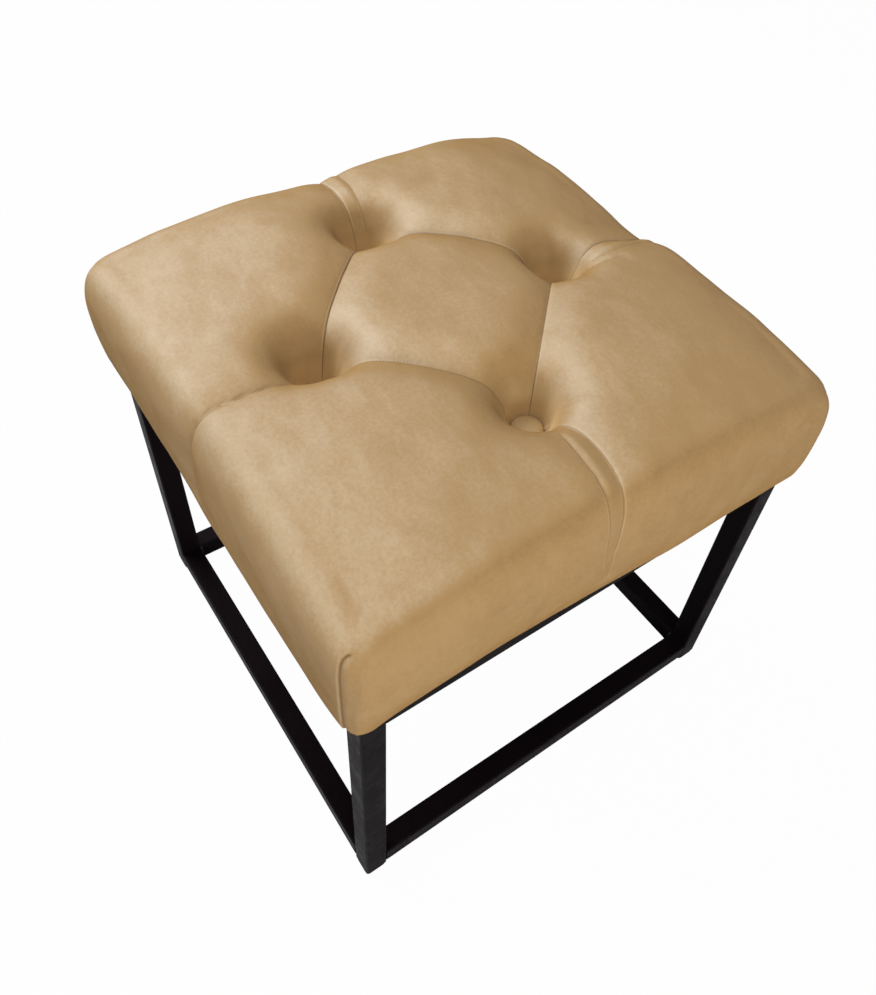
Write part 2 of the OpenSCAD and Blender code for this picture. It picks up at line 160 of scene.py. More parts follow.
# Values to change: the velvet's look
velvetLook = {
    "deep": (0.270, 0.148, 0.048, 1),  # darkest tone: painted shade where the cloth faces away from the painted light or is seen edge on, and the dark end of its uneven tone
    "middle": (0.396, 0.241, 0.096, 1),
    "pale": (0.556, 0.426, 0.270, 1),  # lightest tone: painted highlight where the cloth faces the painted light, and the light end of its uneven tone
    "pitLight": (0.680, 0.490, 0.245, 1),  # painted light: a lighter colour in the pits, where shade falls
    "pitLightShare": 0.85,
    "lip": (0.60, 0.44, 0.27, 1),  # painted highlight along the cloth's edge at a line
    "lipShare": 0.42,
    # painted shade in the crease along a line
    "creaseShade": (0.130, 0.076, 0.030, 1),
    "creaseShadeShare": 0.7,
    "paintedLightWay": (-0.55, 0.10, 0.82),  # the way the painted light comes from: the cloth is painted lighter the more it faces this way
    "paintedLightTone": (0.62, 1.0, 0.36, 0.82),  # how far the cloth faces that way, from and to, and its tone there: painted light and shade
    "edgeOnShade": -0.18,  # painted shade: tone added where the cloth is seen edge on
    "patchScale": 9.0,
    "patchShare": 0.05,  # how far patches, brushing, strokes and specks vary the tone
    "brushShare": 0.08,
    "strokeShare": 0.06,
    "speckShare": 0.10,
    "speckScale": 380.0,
    "brushScale": (9.0, 4.5, 6.0),
    "brushTurn": -0.5,
    "strokeScale": (70.0, 26.0, 48.0),
    "strokeTurn": 0.6,
    "roughness": (0.62, 0.52),
    "specular": 0.50,
    "sheen": 0.04,
    "sheenTint": (1.0, 0.94, 0.84, 1),
    "pileScale": 1150.0,
    "bump": (0.25, 0.00035),  # strength and distance
}


def makeVelvet(name, look):
    made, tree, shader, place = newMaterial(name)
    facing = addNode(tree, "ShaderNodeLayerWeight", {"Blend": 0.5}).outputs["Facing"]
    normal = addNode(tree, "ShaderNodeNewGeometry").outputs["Normal"]
    lean = addNode(tree, "ShaderNodeVectorMath", {0: normal, 1: Vector(look["paintedLightWay"]).normalized()},
        operation="DOT_PRODUCT").outputs["Value"]
    brushed = patchMask(tree, mapPlace(tree, place, look["brushScale"], (0, 0, look["brushTurn"])), 1.0)
    strokes = patchMask(tree, mapPlace(tree, place, look["strokeScale"], (0, 0, look["strokeTurn"])), 1.0)
    patch = patchMask(tree, place, look["patchScale"])
    speck = patchMask(tree, place, look["speckScale"])
    # Painted light and shade: the cloth is lighter the more it faces the painted light's way; patches,
    # brushing, strokes and specks then vary the tone at random
    tone = fitRange(tree, lean, *look["paintedLightTone"], smooth=False)
    for kind, mask in (("patch", patch), ("brush", brushed), ("stroke", strokes), ("speck", speck)):
        uneven = mathNode(tree, "SUBTRACT", mask, 0.5)
        tone = mathNode(tree, "MULTIPLY_ADD", uneven, look[kind + "Share"], tone)
    # Painted shade where the cloth is seen edge on
    tone = mathNode(tree, "MULTIPLY_ADD", mathNode(tree, "POWER", facing, 6.0), look["edgeOnShade"], tone)
    # The tone runs from the deep colour of painted shade through the middle one to the pale colour of painted
    # highlight
    low = mixColour(tree, fitRange(tree, tone, 0.0, 0.5), look["deep"], look["middle"])
    colour = mixColour(tree, fitRange(tree, tone, 0.45, 1.0), low, look["pale"])

    # seam is the distance from the nearest line, seamShare the strength of that line's painted shade and
    # highlight, and pit the depth in a pit, where light is painted
    seam, seamShare, pit = [addNode(tree, "ShaderNodeAttribute", attribute_name=key).outputs["Fac"]
        for key in ("seam", "seamShare", "pit")]
    # Painted light in the pits, where shade falls
    pitLight = fitRange(tree, pit, 0.26, 0.72, 0.0, look["pitLightShare"])
    colour = mixColour(tree, pitLight, colour, look["pitLight"])
    # Painted highlight on the lip beside each line, and painted shade in its crease
    for kind, away, wide in (("lip", 1.15, 0.8), ("creaseShade", 0.0, 0.65)):
        distance = mathNode(tree, "ABSOLUTE", mathNode(tree, "ADD", seam, away))
        strength = mathNode(tree, "MULTIPLY", seamShare, look[kind + "Share"])
        share = mathNode(tree, "MULTIPLY", fitRange(tree, distance, 0.1, wide, 1.0, 0.0), strength)
        colour = mixColour(tree, share, colour, look[kind])
    height = mathNode(tree, "MULTIPLY_ADD", strokes, 0.9, grainHeight(tree, place, look["pileScale"], 1.4))
    setInputs(tree, shader, {
        "Base Color": colour,
        "Roughness": fitRange(tree, brushed, 0.0, 1.0, *look["roughness"]),
        "Specular IOR Level": fitRange(tree, facing, 0.45, 0.85, look["specular"], 0.0),
        "Sheen Weight": look["sheen"],
        "Sheen Roughness": 0.5,
        "Sheen Tint": look["sheenTint"],
        "Normal": bumpNormal(tree, height, *look["bump"]),
    })
    return made


# Values to change: the frame's look
frameLook = {
    "coat": (0.0048, 0.0030, 0.0037, 1),
    "worn": (0.012, 0.009, 0.010, 1),  # tone of the thinner coat on the edges
    "dust": (0.0055, 0.0036, 0.0036, 1),
    "dustShare": 0.22,
    "patchScale": 22.0,
    "roughness": (0.34, 0.46),
    "specular": 0.035,
    "specularTint": (1.0, 0.84, 0.90, 1),
    "peelScale": 620.0,
    "bump": (0.16, 0.00025),
}
tubeOut = 0.19  # how far the tubes' middle lines lie out from the middle
railHeights = {"lower": 0.018, "upper": 0.288}  # of the rails' middle lines


# axis is the tube's direction, and centre the height of its middle line where it lies flat
def makeFrameCoat(name, look, axis, centre=0.0):
    made, tree, shader, place = newMaterial(name)
    parts = addNode(tree, "ShaderNodeSeparateXYZ", {0: place}).outputs
    fromLine = []
    for letter in "XYZ".replace(axis, ""):
        out = parts["Z"] if letter == "Z" else mathNode(tree, "ABSOLUTE", parts[letter])
        side = mathNode(tree, "SUBTRACT", out, centre if letter == "Z" else tubeOut)
        fromLine.append(mathNode(tree, "ABSOLUTE", side))
    edge = useGroup(tree, tubeEdge, {"First distance": fromLine[0], "Second distance": fromLine[1]})
    patch = patchMask(tree, place, look["patchScale"])
    worn = mathNode(tree, "MULTIPLY", edge, fitRange(tree, patch, 0.1, 0.9, 0.25, 0.85))
    coat = mixColour(tree, mathNode(tree, "MULTIPLY", patch, look["dustShare"]), look["coat"], look["dust"])
    setInputs(tree, shader, {
        "Base Color": mixColour(tree, worn, coat, look["worn"]),
        "Roughness": fitRange(tree, patch, 0.0, 1.0, *look["roughness"]),
        "Specular IOR Level": look["specular"],
        "Specular Tint": look["specularTint"],
        "Normal": bumpNormal(tree, grainHeight(tree, place, look["peelScale"], 1.8), *look["bump"]),
    })
    return made


# Values to change: the plywood's look
plyLook = {
    "face": (0.62, 0.44, 0.26, 1),
    "faceDark": (0.47, 0.30, 0.16, 1),
    "edgeDark": (0.30, 0.17, 0.08, 1),
    "plies": 11,
    "low": 0.2995,  # heights of the board's faces
    "high": 0.3145,
}


def makePlywood(name, look):
    made, tree, shader, place = newMaterial(name)
    rings = noiseNode(tree, mapPlace(tree, place, (9.0, 95.0, 95.0)), 1.0, 5.0, distortion=0.8)
    face = mixColour(tree, fitRange(tree, rings, 0.35, 0.68), look["face"], look["faceDark"])
    z = addNode(tree, "ShaderNodeSeparateXYZ", {0: place}).outputs["Z"]
    height = mathNode(tree, "SUBTRACT", z, look["low"])
    ply = mathNode(tree, "MULTIPLY", height, look["plies"] / (look["high"] - look["low"]))
    band = mathNode(tree, "FLOORED_MODULO", ply, 2.0)
    banded = mixColour(tree, fitRange(tree, band, 0.92, 1.08), look["face"], look["edgeDark"])
    normal = addNode(tree, "ShaderNodeNewGeometry").outputs["Normal"]
    up = addNode(tree, "ShaderNodeSeparateXYZ", {0: normal}).outputs["Z"]
    flat = fitRange(tree, mathNode(tree, "ABSOLUTE", up), 0.4, 0.7)
    setInputs(tree, shader, {
        "Base Color": mixColour(tree, flat, banded, face),
        "Roughness": fitRange(tree, rings, 0.0, 1.0, 0.5, 0.72),
        "Normal": bumpNormal(tree, rings, 0.2, 0.0003),
    })
    return made


# Values to change: the look of the cloth under the board
dustLook = {"colour": (0.012, 0.012, 0.013, 1), "pale": (0.03, 0.03, 0.032, 1), "dotScale": 420.0}


def makeDustCloth(name, look):
    made, tree, shader, place = newMaterial(name)
    weave = {"Vector": place, "Scale": look["dotScale"], "Randomness": 0.15}
    dots = addNode(tree, "ShaderNodeTexVoronoi", weave, feature="F1", distance="CHEBYCHEV")
    press = fitRange(tree, dots.outputs["Distance"], 0.15, 0.42)
    fibres = noiseNode(tree, place, 700.0, 5.0, distortion=2.5)
    setInputs(tree, shader, {
        "Base Color": mixColour(tree, fibres, look["colour"], look["pale"]),
        "Roughness": fitRange(tree, press, 0.0, 1.0, 0.6, 0.85),
        "Normal": bumpNormal(tree, mathNode(tree, "MULTIPLY_ADD", fibres, 0.5, press), 0.5, 0.0003),
    })
    return made


# Values to change: the twine's look
twineLook = {"colour": (0.66, 0.57, 0.42, 1), "dark": (0.33, 0.26, 0.17, 1), "twistScale": 210.0}


# A twisted thread: slanting waves wound round each upright strand
def makeTwine(name, look):
    made, tree, shader, place = newMaterial(name)
    turned = mapPlace(tree, place, rotation=(0.0, 0.75, 0.4))
    waves = {"Vector": turned, "Scale": look["twistScale"], "Distortion": 1.5, "Detail": 2.0}
    twist = addNode(tree, "ShaderNodeTexWave", waves, wave_type="BANDS", bands_direction="Z").outputs["Fac"]
    setInputs(tree, shader, {
        "Base Color": mixColour(tree, twist, look["dark"], look["colour"]),
        "Roughness": 0.6,
        "Normal": bumpNormal(tree, twist, 0.7, 0.0004),
    })
    return made


# Values to change: the finishes of the small and hidden pieces
plainLooks = {
    "weld coat": {"colour": (0.005, 0.0045, 0.006, 1), "second": (0.010, 0.008, 0.009, 1),
        "roughness": (0.36, 0.5), "bump": 0.3},
    "foot plastic": {"colour": (0.008, 0.0075, 0.008, 1), "second": (0.014, 0.013, 0.0135, 1),
        "roughness": (0.5, 0.66), "grainScale": 1500.0},
    "foam": {"colour": (0.80, 0.72, 0.47, 1), "second": (0.70, 0.60, 0.36, 1), "roughness": (0.85, 0.95),
        "patchScale": 18.0, "grainScale": 650.0, "bump": 0.8, "distance": 0.0012},
    "wadding": {"colour": (0.88, 0.88, 0.86, 1), "second": (0.74, 0.74, 0.72, 1), "roughness": (0.9, 1.0),
        "patchScale": 30.0, "grainScale": 260.0, "bump": 0.7, "distance": 0.002, "sheen": 0.3},
    "zinc": {"colour": (0.60, 0.61, 0.62, 1), "second": (0.42, 0.43, 0.46, 1), "roughness": (0.24, 0.42),
        "metallic": 1.0, "patchScale": 150.0, "grainScale": 2600.0, "bump": 0.08},
    "washer plastic": {"colour": (0.74, 0.73, 0.69, 1), "second": (0.66, 0.65, 0.60, 1),
        "roughness": (0.4, 0.55), "grainScale": 1800.0},
}


def makePlain(name, colour, second, roughness, metallic=0.0, patchScale=40.0, grainScale=700.0, bump=0.15,
        distance=0.0003, sheen=0.0):
    made, tree, shader, place = newMaterial(name)
    patch = patchMask(tree, place, patchScale)
    setInputs(tree, shader, {
        "Base Color": mixColour(tree, patch, colour, second),
        "Roughness": fitRange(tree, patch, 0.0, 1.0, *roughness),
        "Metallic": metallic,
        "Sheen Weight": sheen,
        "Normal": bumpNormal(tree, grainHeight(tree, place, grainScale, 0.8), bump, distance),
    })
    return made


finishes = {name: makePlain(name, **look) for name, look in plainLooks.items()}
velvet = makeVelvet("velvet", velvetLook)
dustCloth = makeDustCloth("dust cloth", dustLook)
legCoat = makeFrameCoat("frame coat upright", frameLook, "Z")
railCoats = {(level, axis): makeFrameCoat(f"frame coat {level} {axis.lower()}", frameLook, axis, height)
    for level, height in railHeights.items() for axis in "XY"}
print("materials made")

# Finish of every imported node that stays
nodeFinish = {
    "seat_board": makePlywood("plywood", plyLook),
    "tufting_twine": makeTwine("twine", twineLook),
    "twine_washers": finishes["washer plastic"],
}
for side, axis in (("front", "X"), ("back", "X"), ("right", "Y"), ("left", "Y")):
    nodeFinish["leg_" + side] = legCoat
    nodeFinish["foot_" + side] = finishes["foot plastic"]
    for level in railHeights:
        nodeFinish[f"{level}_rail_{side}"] = railCoats[level, axis]
for name, material in nodeFinish.items():
    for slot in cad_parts[name].material_slots:
        slot.material = material
print("packed nodes finished")


# Mesh helpers
def newObject(name, data):
    made = bpy.data.objects.new(name, data)
    bpy.context.scene.collection.objects.link(made)
    return made


def makeMesh(name, points, faces, material, smooth=True, **values):
    mesh = bpy.data.meshes.new(name)
    mesh.from_pydata(np.asarray(points).tolist(), [], faces)
    mesh.materials.append(material)
    for attribute, numbers in values.items():
        made = mesh.attributes.new(attribute, "FLOAT", "POINT")
        made.data.foreach_set("value", np.asarray(numbers, dtype=np.float32))
    if smooth:
        mesh.shade_smooth()
    mesh.update()
    return newObject(name, mesh)


def settle(piece, node):
    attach(piece, "root")
    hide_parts(node)


# The faces of a grid of points, n along each side, and the points round its rim
def gridFaces(n):
    grid = np.arange(n * n).reshape(n, n)
    quads = np.stack([grid[:-1, :-1], grid[1:, :-1], grid[1:, 1:], grid[:-1, 1:]], axis=-1).reshape(-1, 4)
    rim = np.concatenate([grid[-1, :-1], grid[:0:-1, -1], grid[0, :0:-1], grid[:-1, 0]])
    return quads, rim


# A ring of points round an upright axis
def flatRing(radius, z, angles, x=0.0, y=0.0):
    level = np.zeros(len(angles)) + z
    return np.column_stack([x + radius * np.cos(angles), y + radius * np.sin(angles), level])


def ringAngles(columns):
    return np.arange(columns) * fullTurn / columns


# A surface from rings of points round an axis, closed at both ends
def ringBody(rings, closeEnds=True):
    columns = len(rings[0])
    faces = []
    for r in range(len(rings) - 1):
        for c in range(columns):
            d = (c + 1) % columns
            faces.append([r * columns + c, r * columns + d, (r + 1) * columns + d, (r + 1) * columns + c])
    if closeEnds:
        faces.append(list(range(columns))[::-1])
        faces.append([(len(rings) - 1) * columns + c for c in range(columns)])
    return np.concatenate(rings), faces


# A round wire along a path of points
def wireBody(path, radius, sides=8, closed=False):
    path = np.array(path, float)
    angles = ringAngles(sides)
    rings = []
    count = len(path)
    normal = None
    for i in range(count):
        before = path[i - 1] if i > 0 or closed else path[0]
        after = path[(i + 1) % count] if i < count - 1 or closed else path[-1]
        along = (after - before) / np.linalg.norm(after - before)
        if normal is None:
            normal = np.cross(along, [0.0, 0.0, 1.0] if abs(along[2]) < 0.9 else [0.0, 1.0, 0.0])
        normal = normal - along * (normal @ along)
        normal /= np.linalg.norm(normal)
        across = np.cross(along, normal)
        rings.append(path[i] + radius * (np.outer(np.cos(angles), normal) + np.outer(np.sin(angles), across)))
    if closed:
        points, faces = ringBody(rings + [rings[0]], False)
        keep = count * sides
        return points[:keep], [[i % keep for i in face] for face in faces]
    return ringBody(rings)


# Several bodies as one, each with the number of its material
def joinBodies(*bodies):
    points, faces, kinds = [], [], []
    for (bodyPoints, bodyFaces), kind in bodies:
        start = sum(len(p) for p in points)
        points.append(bodyPoints)
        faces += [[start + i for i in face] for face in bodyFaces]
        kinds += [kind] * len(bodyFaces)
    return np.concatenate(points), faces, kinds


def smoothStep(value):
    value = np.clip(value, 0, 1)
    return value * value * (3 - 2 * value)


# Values to change: the seat's form
seat = {
    "half": 0.2098,  # half width at the shoulder
    "cornerRound": 0.0153,
    "sideDraw": 0.0006,  # how far the sides are drawn in between the corners
    "sideSwell": 0.0056,
    "fullZ": 0.349,  # height where the sides are fullest, at their middle
    "cornerSwell": 0.35,  # swell left at the corners, as a share
    "squareness": 2.7,  # 2 is a round shoulder, and a higher value a squarer one
    # how far each lower edge is drawn in, and how much less towards its far end: right, back, left and front
    "tuck": (0.0010, 0.0020, -0.0004, 0.0050),
    "tuckLess": (0.0, 0.0, 0.0024, 0.0050),
    "shoulderZ": 0.4056,
    "shoulderRound": 0.0226,
    "crown": 0.019,
    "rimCrown": 0.36,  # share of the crown that the middle of the rim has
    "cornerDrop": 0.0172,
    "backLift": 0.005,  # how much higher the back edge lies
    # slow lifts and dips of the top: height, then middle and width across and along, as shares of half a side
    "lifts": [(-0.0070, 1.0, 0.22, 0.35, 0.22), (-0.0080, 1.0, 0.10, 0.25, 0.12),
        (-0.0038, -0.06, 1.0, 0.24, 0.35), (0.0028, 0.62, 1.0, 0.25, 0.30), (-0.0040, -1.0, 1.0, 0.35, 0.60)],
    "lowerRound": 0.0050,
    "baseZ": 0.29802,
    "pitDeep": (0.0605, 0.0521, 0.056, 0.056),  # left, front, right and back
    "pitFlat": 0.0085,  # radius of a pit's flat bottom
    "pitNarrow": 0.0080,  # how far past it the funnel is half as deep
    "pitWide": 0.0195,  # the same for the wide hollow round it
    "narrowShare": 0.6,  # the funnel's share of the depth
    "pitOpen": 0.28,  # how much wider the front pit is towards the front left corner, as a share
    "clothThick": 0.0015,
    "waddingThick": 0.006,
    "layerGap": 0.0004,
    "hemHalf": 0.157,  # half width of the opening under the board that the hem leaves
    "hemRound": 0.008,
    "hemStep": 0.004,
    "wave": 0.0005,  # height of the slow unevenness
    # its waves: lengths in millimetres, and shares
    "waves": ((150, 0.9), (95, 0.7), (61, 0.5), (38, 0.28), (23, 0.12)),
    "cells": 219,  # cells along one side of the cloth's face, a multiple of 3
    "ringPitch": 0.0017,
    "innerPitch": 0.005,  # the same on the cloth's back
    "waddingCells": 90,
    "waddingPitch": 0.004,
    "foamCells": 84,
    "foamPitch": 0.0042,
    "foamLow": 0.3146,
}
buttonSides = ("left", "front", "right", "back")
buttonBoxes = np.array([[corner[:2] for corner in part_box("button_" + side)] for side in buttonSides])
buttonSpots = buttonBoxes[:, 0] * 0.5 + buttonBoxes[:, 1] * 0.5

# Seat: a grid over the top goes on in rings down the sides and under the seat.
# Pleats are lines in the unrolled plan, where a side's points lie as far out as the cloth runs.
topHalf = seat["half"] - seat["shoulderRound"]
topCorner = seat["cornerRound"] * topHalf / seat["half"]
sideLength = topHalf - topCorner + topCorner * math.pi / 4
sideTurns = np.array([[[math.cos(a), -math.sin(a)], [math.sin(a), math.cos(a)]] for a in quarters])

# The side's profile from 0 at the top's rim to 1 at its fullest point: an ellipse with squarer shoulders
profileSteps = np.linspace(0, 1, 400)
profileOut = np.sin(profileSteps * math.pi / 2) ** (2 / seat["squareness"])
profileUp = np.cos(profileSteps * math.pi / 2) ** (2 / seat["squareness"])
upperWide = seat["shoulderRound"] + seat["sideSwell"]
upperTop = seat["shoulderZ"] + seat["rimCrown"] * seat["crown"] - seat["baseZ"]
upperHigh = upperTop + seat["baseZ"] - seat["fullZ"]
profileRun = np.hypot(np.diff(profileOut) * upperWide, np.diff(profileUp) * upperHigh)
profileRun = np.concatenate([[0], np.cumsum(profileRun)])

# How far out in the unrolled plan each stretch of the side ends: its upper and lower part, and the lower edge
lowerStretch = seat["fullZ"] - seat["baseZ"] - seat["lowerRound"] * 0.6
edgeStretch = seat["lowerRound"] * 1.2
upperEnd = float(profileRun[-1])
sideEnd = upperEnd + lowerStretch
lowerEnd = sideEnd + edgeStretch

# Values to change: the pleats. Points are in millimetres in the unrolled plan, depths and widths too.
# lip is the step at the line: the cloth on the line's left lies over the cloth on its right.
# groove is the groove's depth at the step, and fadeIn the length over which a pleat begins.
# lineAt is how far past the step its painted dark line of shade lies, and a thin below 1 makes that line
# broader.
left, front, right, back = [tuple(spot / millimetre) for spot in buttonSpots]
out = topHalf / millimetre
pleats = [
    {"points": [left, back], "deep": 7.5, "wide": 17, "lip": 1.1, "groove": 1.0},
    {"points": [back, right], "deep": 7.5, "wide": 17, "lip": 1.1, "groove": 0.8},
    {"points": [right, front], "deep": 7.5, "wide": 17, "lip": 1.1, "groove": 1.0},
    {"points": [left, front], "deep": 8.0, "wide": 17, "lip": -1.1, "groove": 0.8},
    {"points": [left, (-126, -6), (-143, -12.5), (-160, -10.5), (-176, -8.5), (-out, -7), (-out - 22, -4.5),
        (-out - 70, 0), (-out - 112, 2)], "deep": 5.2, "wide": 15, "lip": 1.3, "groove": 1.0, "lineAt": -0.4},
    {"points": [front, (-4, -125), (-2.5, -142), (-1.5, -158), (-1.5, -172), (-3, -out), (-7, -out - 22),
        (-12, -out - 70), (-8, -out - 112)], "deep": 3.4, "wide": 13, "lip": 0.9, "groove": 0.4},
    {"points": [(-12, -132), (-16, -148), (-18, -162), (-19, -175), (-19, -out), (-20, -out - 22),
        (-20, -out - 60), (-14, -out - 95)], "deep": 2.0, "wide": 11, "lip": -0.6, "groove": 0.25,
        "fadeIn": 18},
    {"points": [right, (124, 3), (137, 6), (150, 7), (165, 6), (out, 3), (out + 22, 5), (out + 70, 6),
        (out + 112, 4)], "deep": 4.2, "wide": 14, "lip": 1.0, "groove": 0.5},
    {"points": [(124, -6), (136, -10), (150, -12), (166, -12), (out, -12), (out + 22, -12), (out + 60, -8),
        (out + 95, -3)], "deep": 2.4, "wide": 11, "lip": -0.8, "groove": 0.3, "fadeIn": 10},
    {"points": [(118, -12), (127, -18), (138, -22), (150, -24), (160, -25)], "deep": 1.6, "wide": 8,
        "lip": -0.6, "groove": 0.2, "fadeIn": 10},
    {"points": [back, (-4, 132), (-3.5, 146), (-3, 161), (-1.5, 176), (-1, out), (0, out + 22), (2, out + 70),
        (4, out + 112)], "deep": 3.8, "wide": 14, "lip": -1.1, "groove": 0.7},
    {"points": [(5, 128), (6.5, 141), (8, 155), (11, 170), (13, out), (14, out + 22), (12, out + 60),
        (8, out + 95)], "deep": 2.4, "wide": 11, "lip": 0.5, "groove": 0.1, "fadeIn": 10},
]
# The folded corners: a hooked line down the side next to a corner, from the shoulder to the lower edge,
# as distances out from the top's rim and in from the corner
corner = (seat["half"] - seat["cornerRound"] * (1 - math.pi / 4)) * topHalf / seat["half"] / millimetre
foldRun = [(23, 1.5), (25.5, 4.5), (29, 6.6), (34, 7.9), (46, 8.3), (60, 7.8), (80, 7.6), (100, 8.1),
    (118, 8.4), (135, 8.0)]
for turn, hand in ((2, 1), (0, -1), (1, 1), (1, -1)):
    placed = [sideTurns[turn] @ (out + away, hand * (corner - inward)) for away, inward in foldRun]
    pleats.append({"points": placed, "deep": 0.5, "wide": 6, "lip": -0.8 * hand, "groove": 1.3, "fadeIn": 4,
        "fold": True, "lineAt": 0.3, "thin": 0.5})

# Values to change: what the pleats share, in millimetres and shares
pleatForm = {
    "fade": 14,  # length over which a pleat ends
    "roundShare": 0.62,  # share of the hollow that is round in section, while the rest is pointed
    "pointedWide": 0.34,  # width of the pointed share, as a share of the round one's
    "stepWide": 0.9,
    "stepFade": 9,  # how far the step takes to even out again
    "grooveAt": 0.5,
    "grooveWide": 0.75,
    "lineAt": 0.4,
    "lineReach": 3.2,  # how far from its line a pleat paints shade and highlight on the cloth
    "gatherReach": 5.5,  # how far from a line the mesh is drawn to it
    "gatherPower": 1.75,
    "gatherShare": 0.9,
}
noSeam = 20.0  # distance in millimetres that stands for no line nearby
veryFar = 1e9

# Values to change: the small puckers that run out from each button, in millimetres
puckerForm = {
    "high": 0.7,
    "start": 9,  # distance from the button's middle
    "rise": 6,
    "full": 13,
    "fade": 9,
    # how many go round, their share, and how they are turned from button to button and at the first one
    "rays": ((7, 1.0, 1.3, 0.0), (11, 0.7, 2.1, 0.5), (4, 0.5, 0.7, 0.0)),
}


def turnPoints(turn, points, undo=False):
    return np.einsum("nji,nj->ni" if undo else "nij,nj->ni", sideTurns[turn], points)


# Points on the outline of a rounded square: the side they lie on, and how far along it from -1 to 1
def outline(turn, share, half, radius):
    straight = half - radius
    along = np.abs(share) * (straight + radius * math.pi / 4)
    angle = np.maximum(along - straight, 0) / radius
    v = np.minimum(along, straight) + radius * np.sin(angle)
    u = straight + radius * np.cos(angle) - seat["sideDraw"] * (1 - (v / half) ** 2)
    return turnPoints(turn, np.stack([u, np.sign(share) * v], axis=-1))


# How far each button draws a point of the plan down, as shares of its depth
def pitShares(plan):
    near = np.array([np.linalg.norm(plan - spot, axis=1) for spot in buttonSpots])
    past = np.maximum(near - seat["pitFlat"], 0)
    front = buttonSides.index("front")
    towardsCorner = (buttonSpots[front] - plan).sum(axis=1) / (math.sqrt(2) * np.maximum(near[front], 1e-6))
    past[front] *= 1 - seat["pitOpen"] * smoothStep(towardsCorner)
    narrow = seat["narrowShare"]
    return (narrow / (1 + (past / seat["pitNarrow"]) ** 3)
        + (1 - narrow) / (1 + (past / seat["pitWide"]) ** 3))


def topHeight(plan):
    x, y = (plan / seat["half"]).T
    rise = seat["backLift"] * smoothStep((y - 0.35) / 0.5) * (1 - 0.35 * smoothStep((x - 0.5) / 0.4))
    shares = pitShares(plan)
    calm = 1 - np.max(shares, axis=0)
    for lift, middleX, middleY, wideX, wideY in seat["lifts"]:
        rise += lift * calm * np.exp(-((x - middleX) / wideX) ** 2 - ((y - middleY) / wideY) ** 2)
    crown = seat["crown"] * (1 - x ** 4) * (1 - y ** 4) - seat["cornerDrop"] * (x * y) ** 2
    return rise + seat["shoulderZ"] + crown - np.max(shares * np.array(seat["pitDeep"])[:, None], axis=0)


# For unrolled points: signed distance from a line, how far along it they lie, its length, and the way from it
def besideLine(points, line):
    best = np.full(len(points), veryFar)
    signed = np.zeros(len(points))
    along = np.zeros(len(points))
    shift = np.zeros_like(points)
    run = 0.0
    for a, b in zip(line[:-1], line[1:]):
        a, b = np.array(a, float), np.array(b, float)
        step = b - a
        length = np.linalg.norm(step)
        share = np.clip((points - a) @ step / length ** 2, 0, 1)
        away = points - a - share[:, None] * step
        distance = np.linalg.norm(away, axis=1)
        nearer = distance < best
        best[nearer] = distance[nearer]
        side = np.sign(step[1] * away[:, 0] - step[0] * away[:, 1])
        signed[nearer] = (distance * side)[nearer]
        along[nearer] = (run + share * length)[nearer]
        shift[nearer] = away[nearer]
        run += length
    return signed, along, run, shift


def pleatFade(pleat, along, run):
    fade = np.ones_like(along)
    if not pleat.get("fold") and len(pleat["points"]) > 2:
        fade = smoothStep(1 - (along - (run - pleatForm["fade"])) / pleatForm["fade"])
    if "fadeIn" in pleat:
        fade = fade * smoothStep(along / pleat["fadeIn"])
    return fade


# Draws the mesh lines together at the pleats, so that their steps stay crisp
def gather(points):
    reach = pleatForm["gatherReach"]
    moved = points.copy()
    for pleat in pleats:
        signed, along, run, away = besideLine(points, pleat["points"])
        distance = np.abs(signed)
        inside = (distance < reach) & (distance > 1e-6)
        wanted = reach * (distance[inside] / reach) ** pleatForm["gatherPower"]
        share = (1 - wanted / distance[inside]) * pleatFade(pleat, along, run)[inside]
        moved[inside] -= away[inside] * (share * pleatForm["gatherShare"])[:, None]
    return moved


# The same for the rings: shares along a side, drawn together along it only
def gatherShares(turn, share, away):
    flat = np.stack([topHalf + away, share * sideLength], axis=1)
    moved = turnPoints(turn, gather(turnPoints(turn, flat) / millimetre) * millimetre, undo=True)
    return share + (moved[:, 1] / sideLength - share) * (1 - np.abs(share) ** 40)


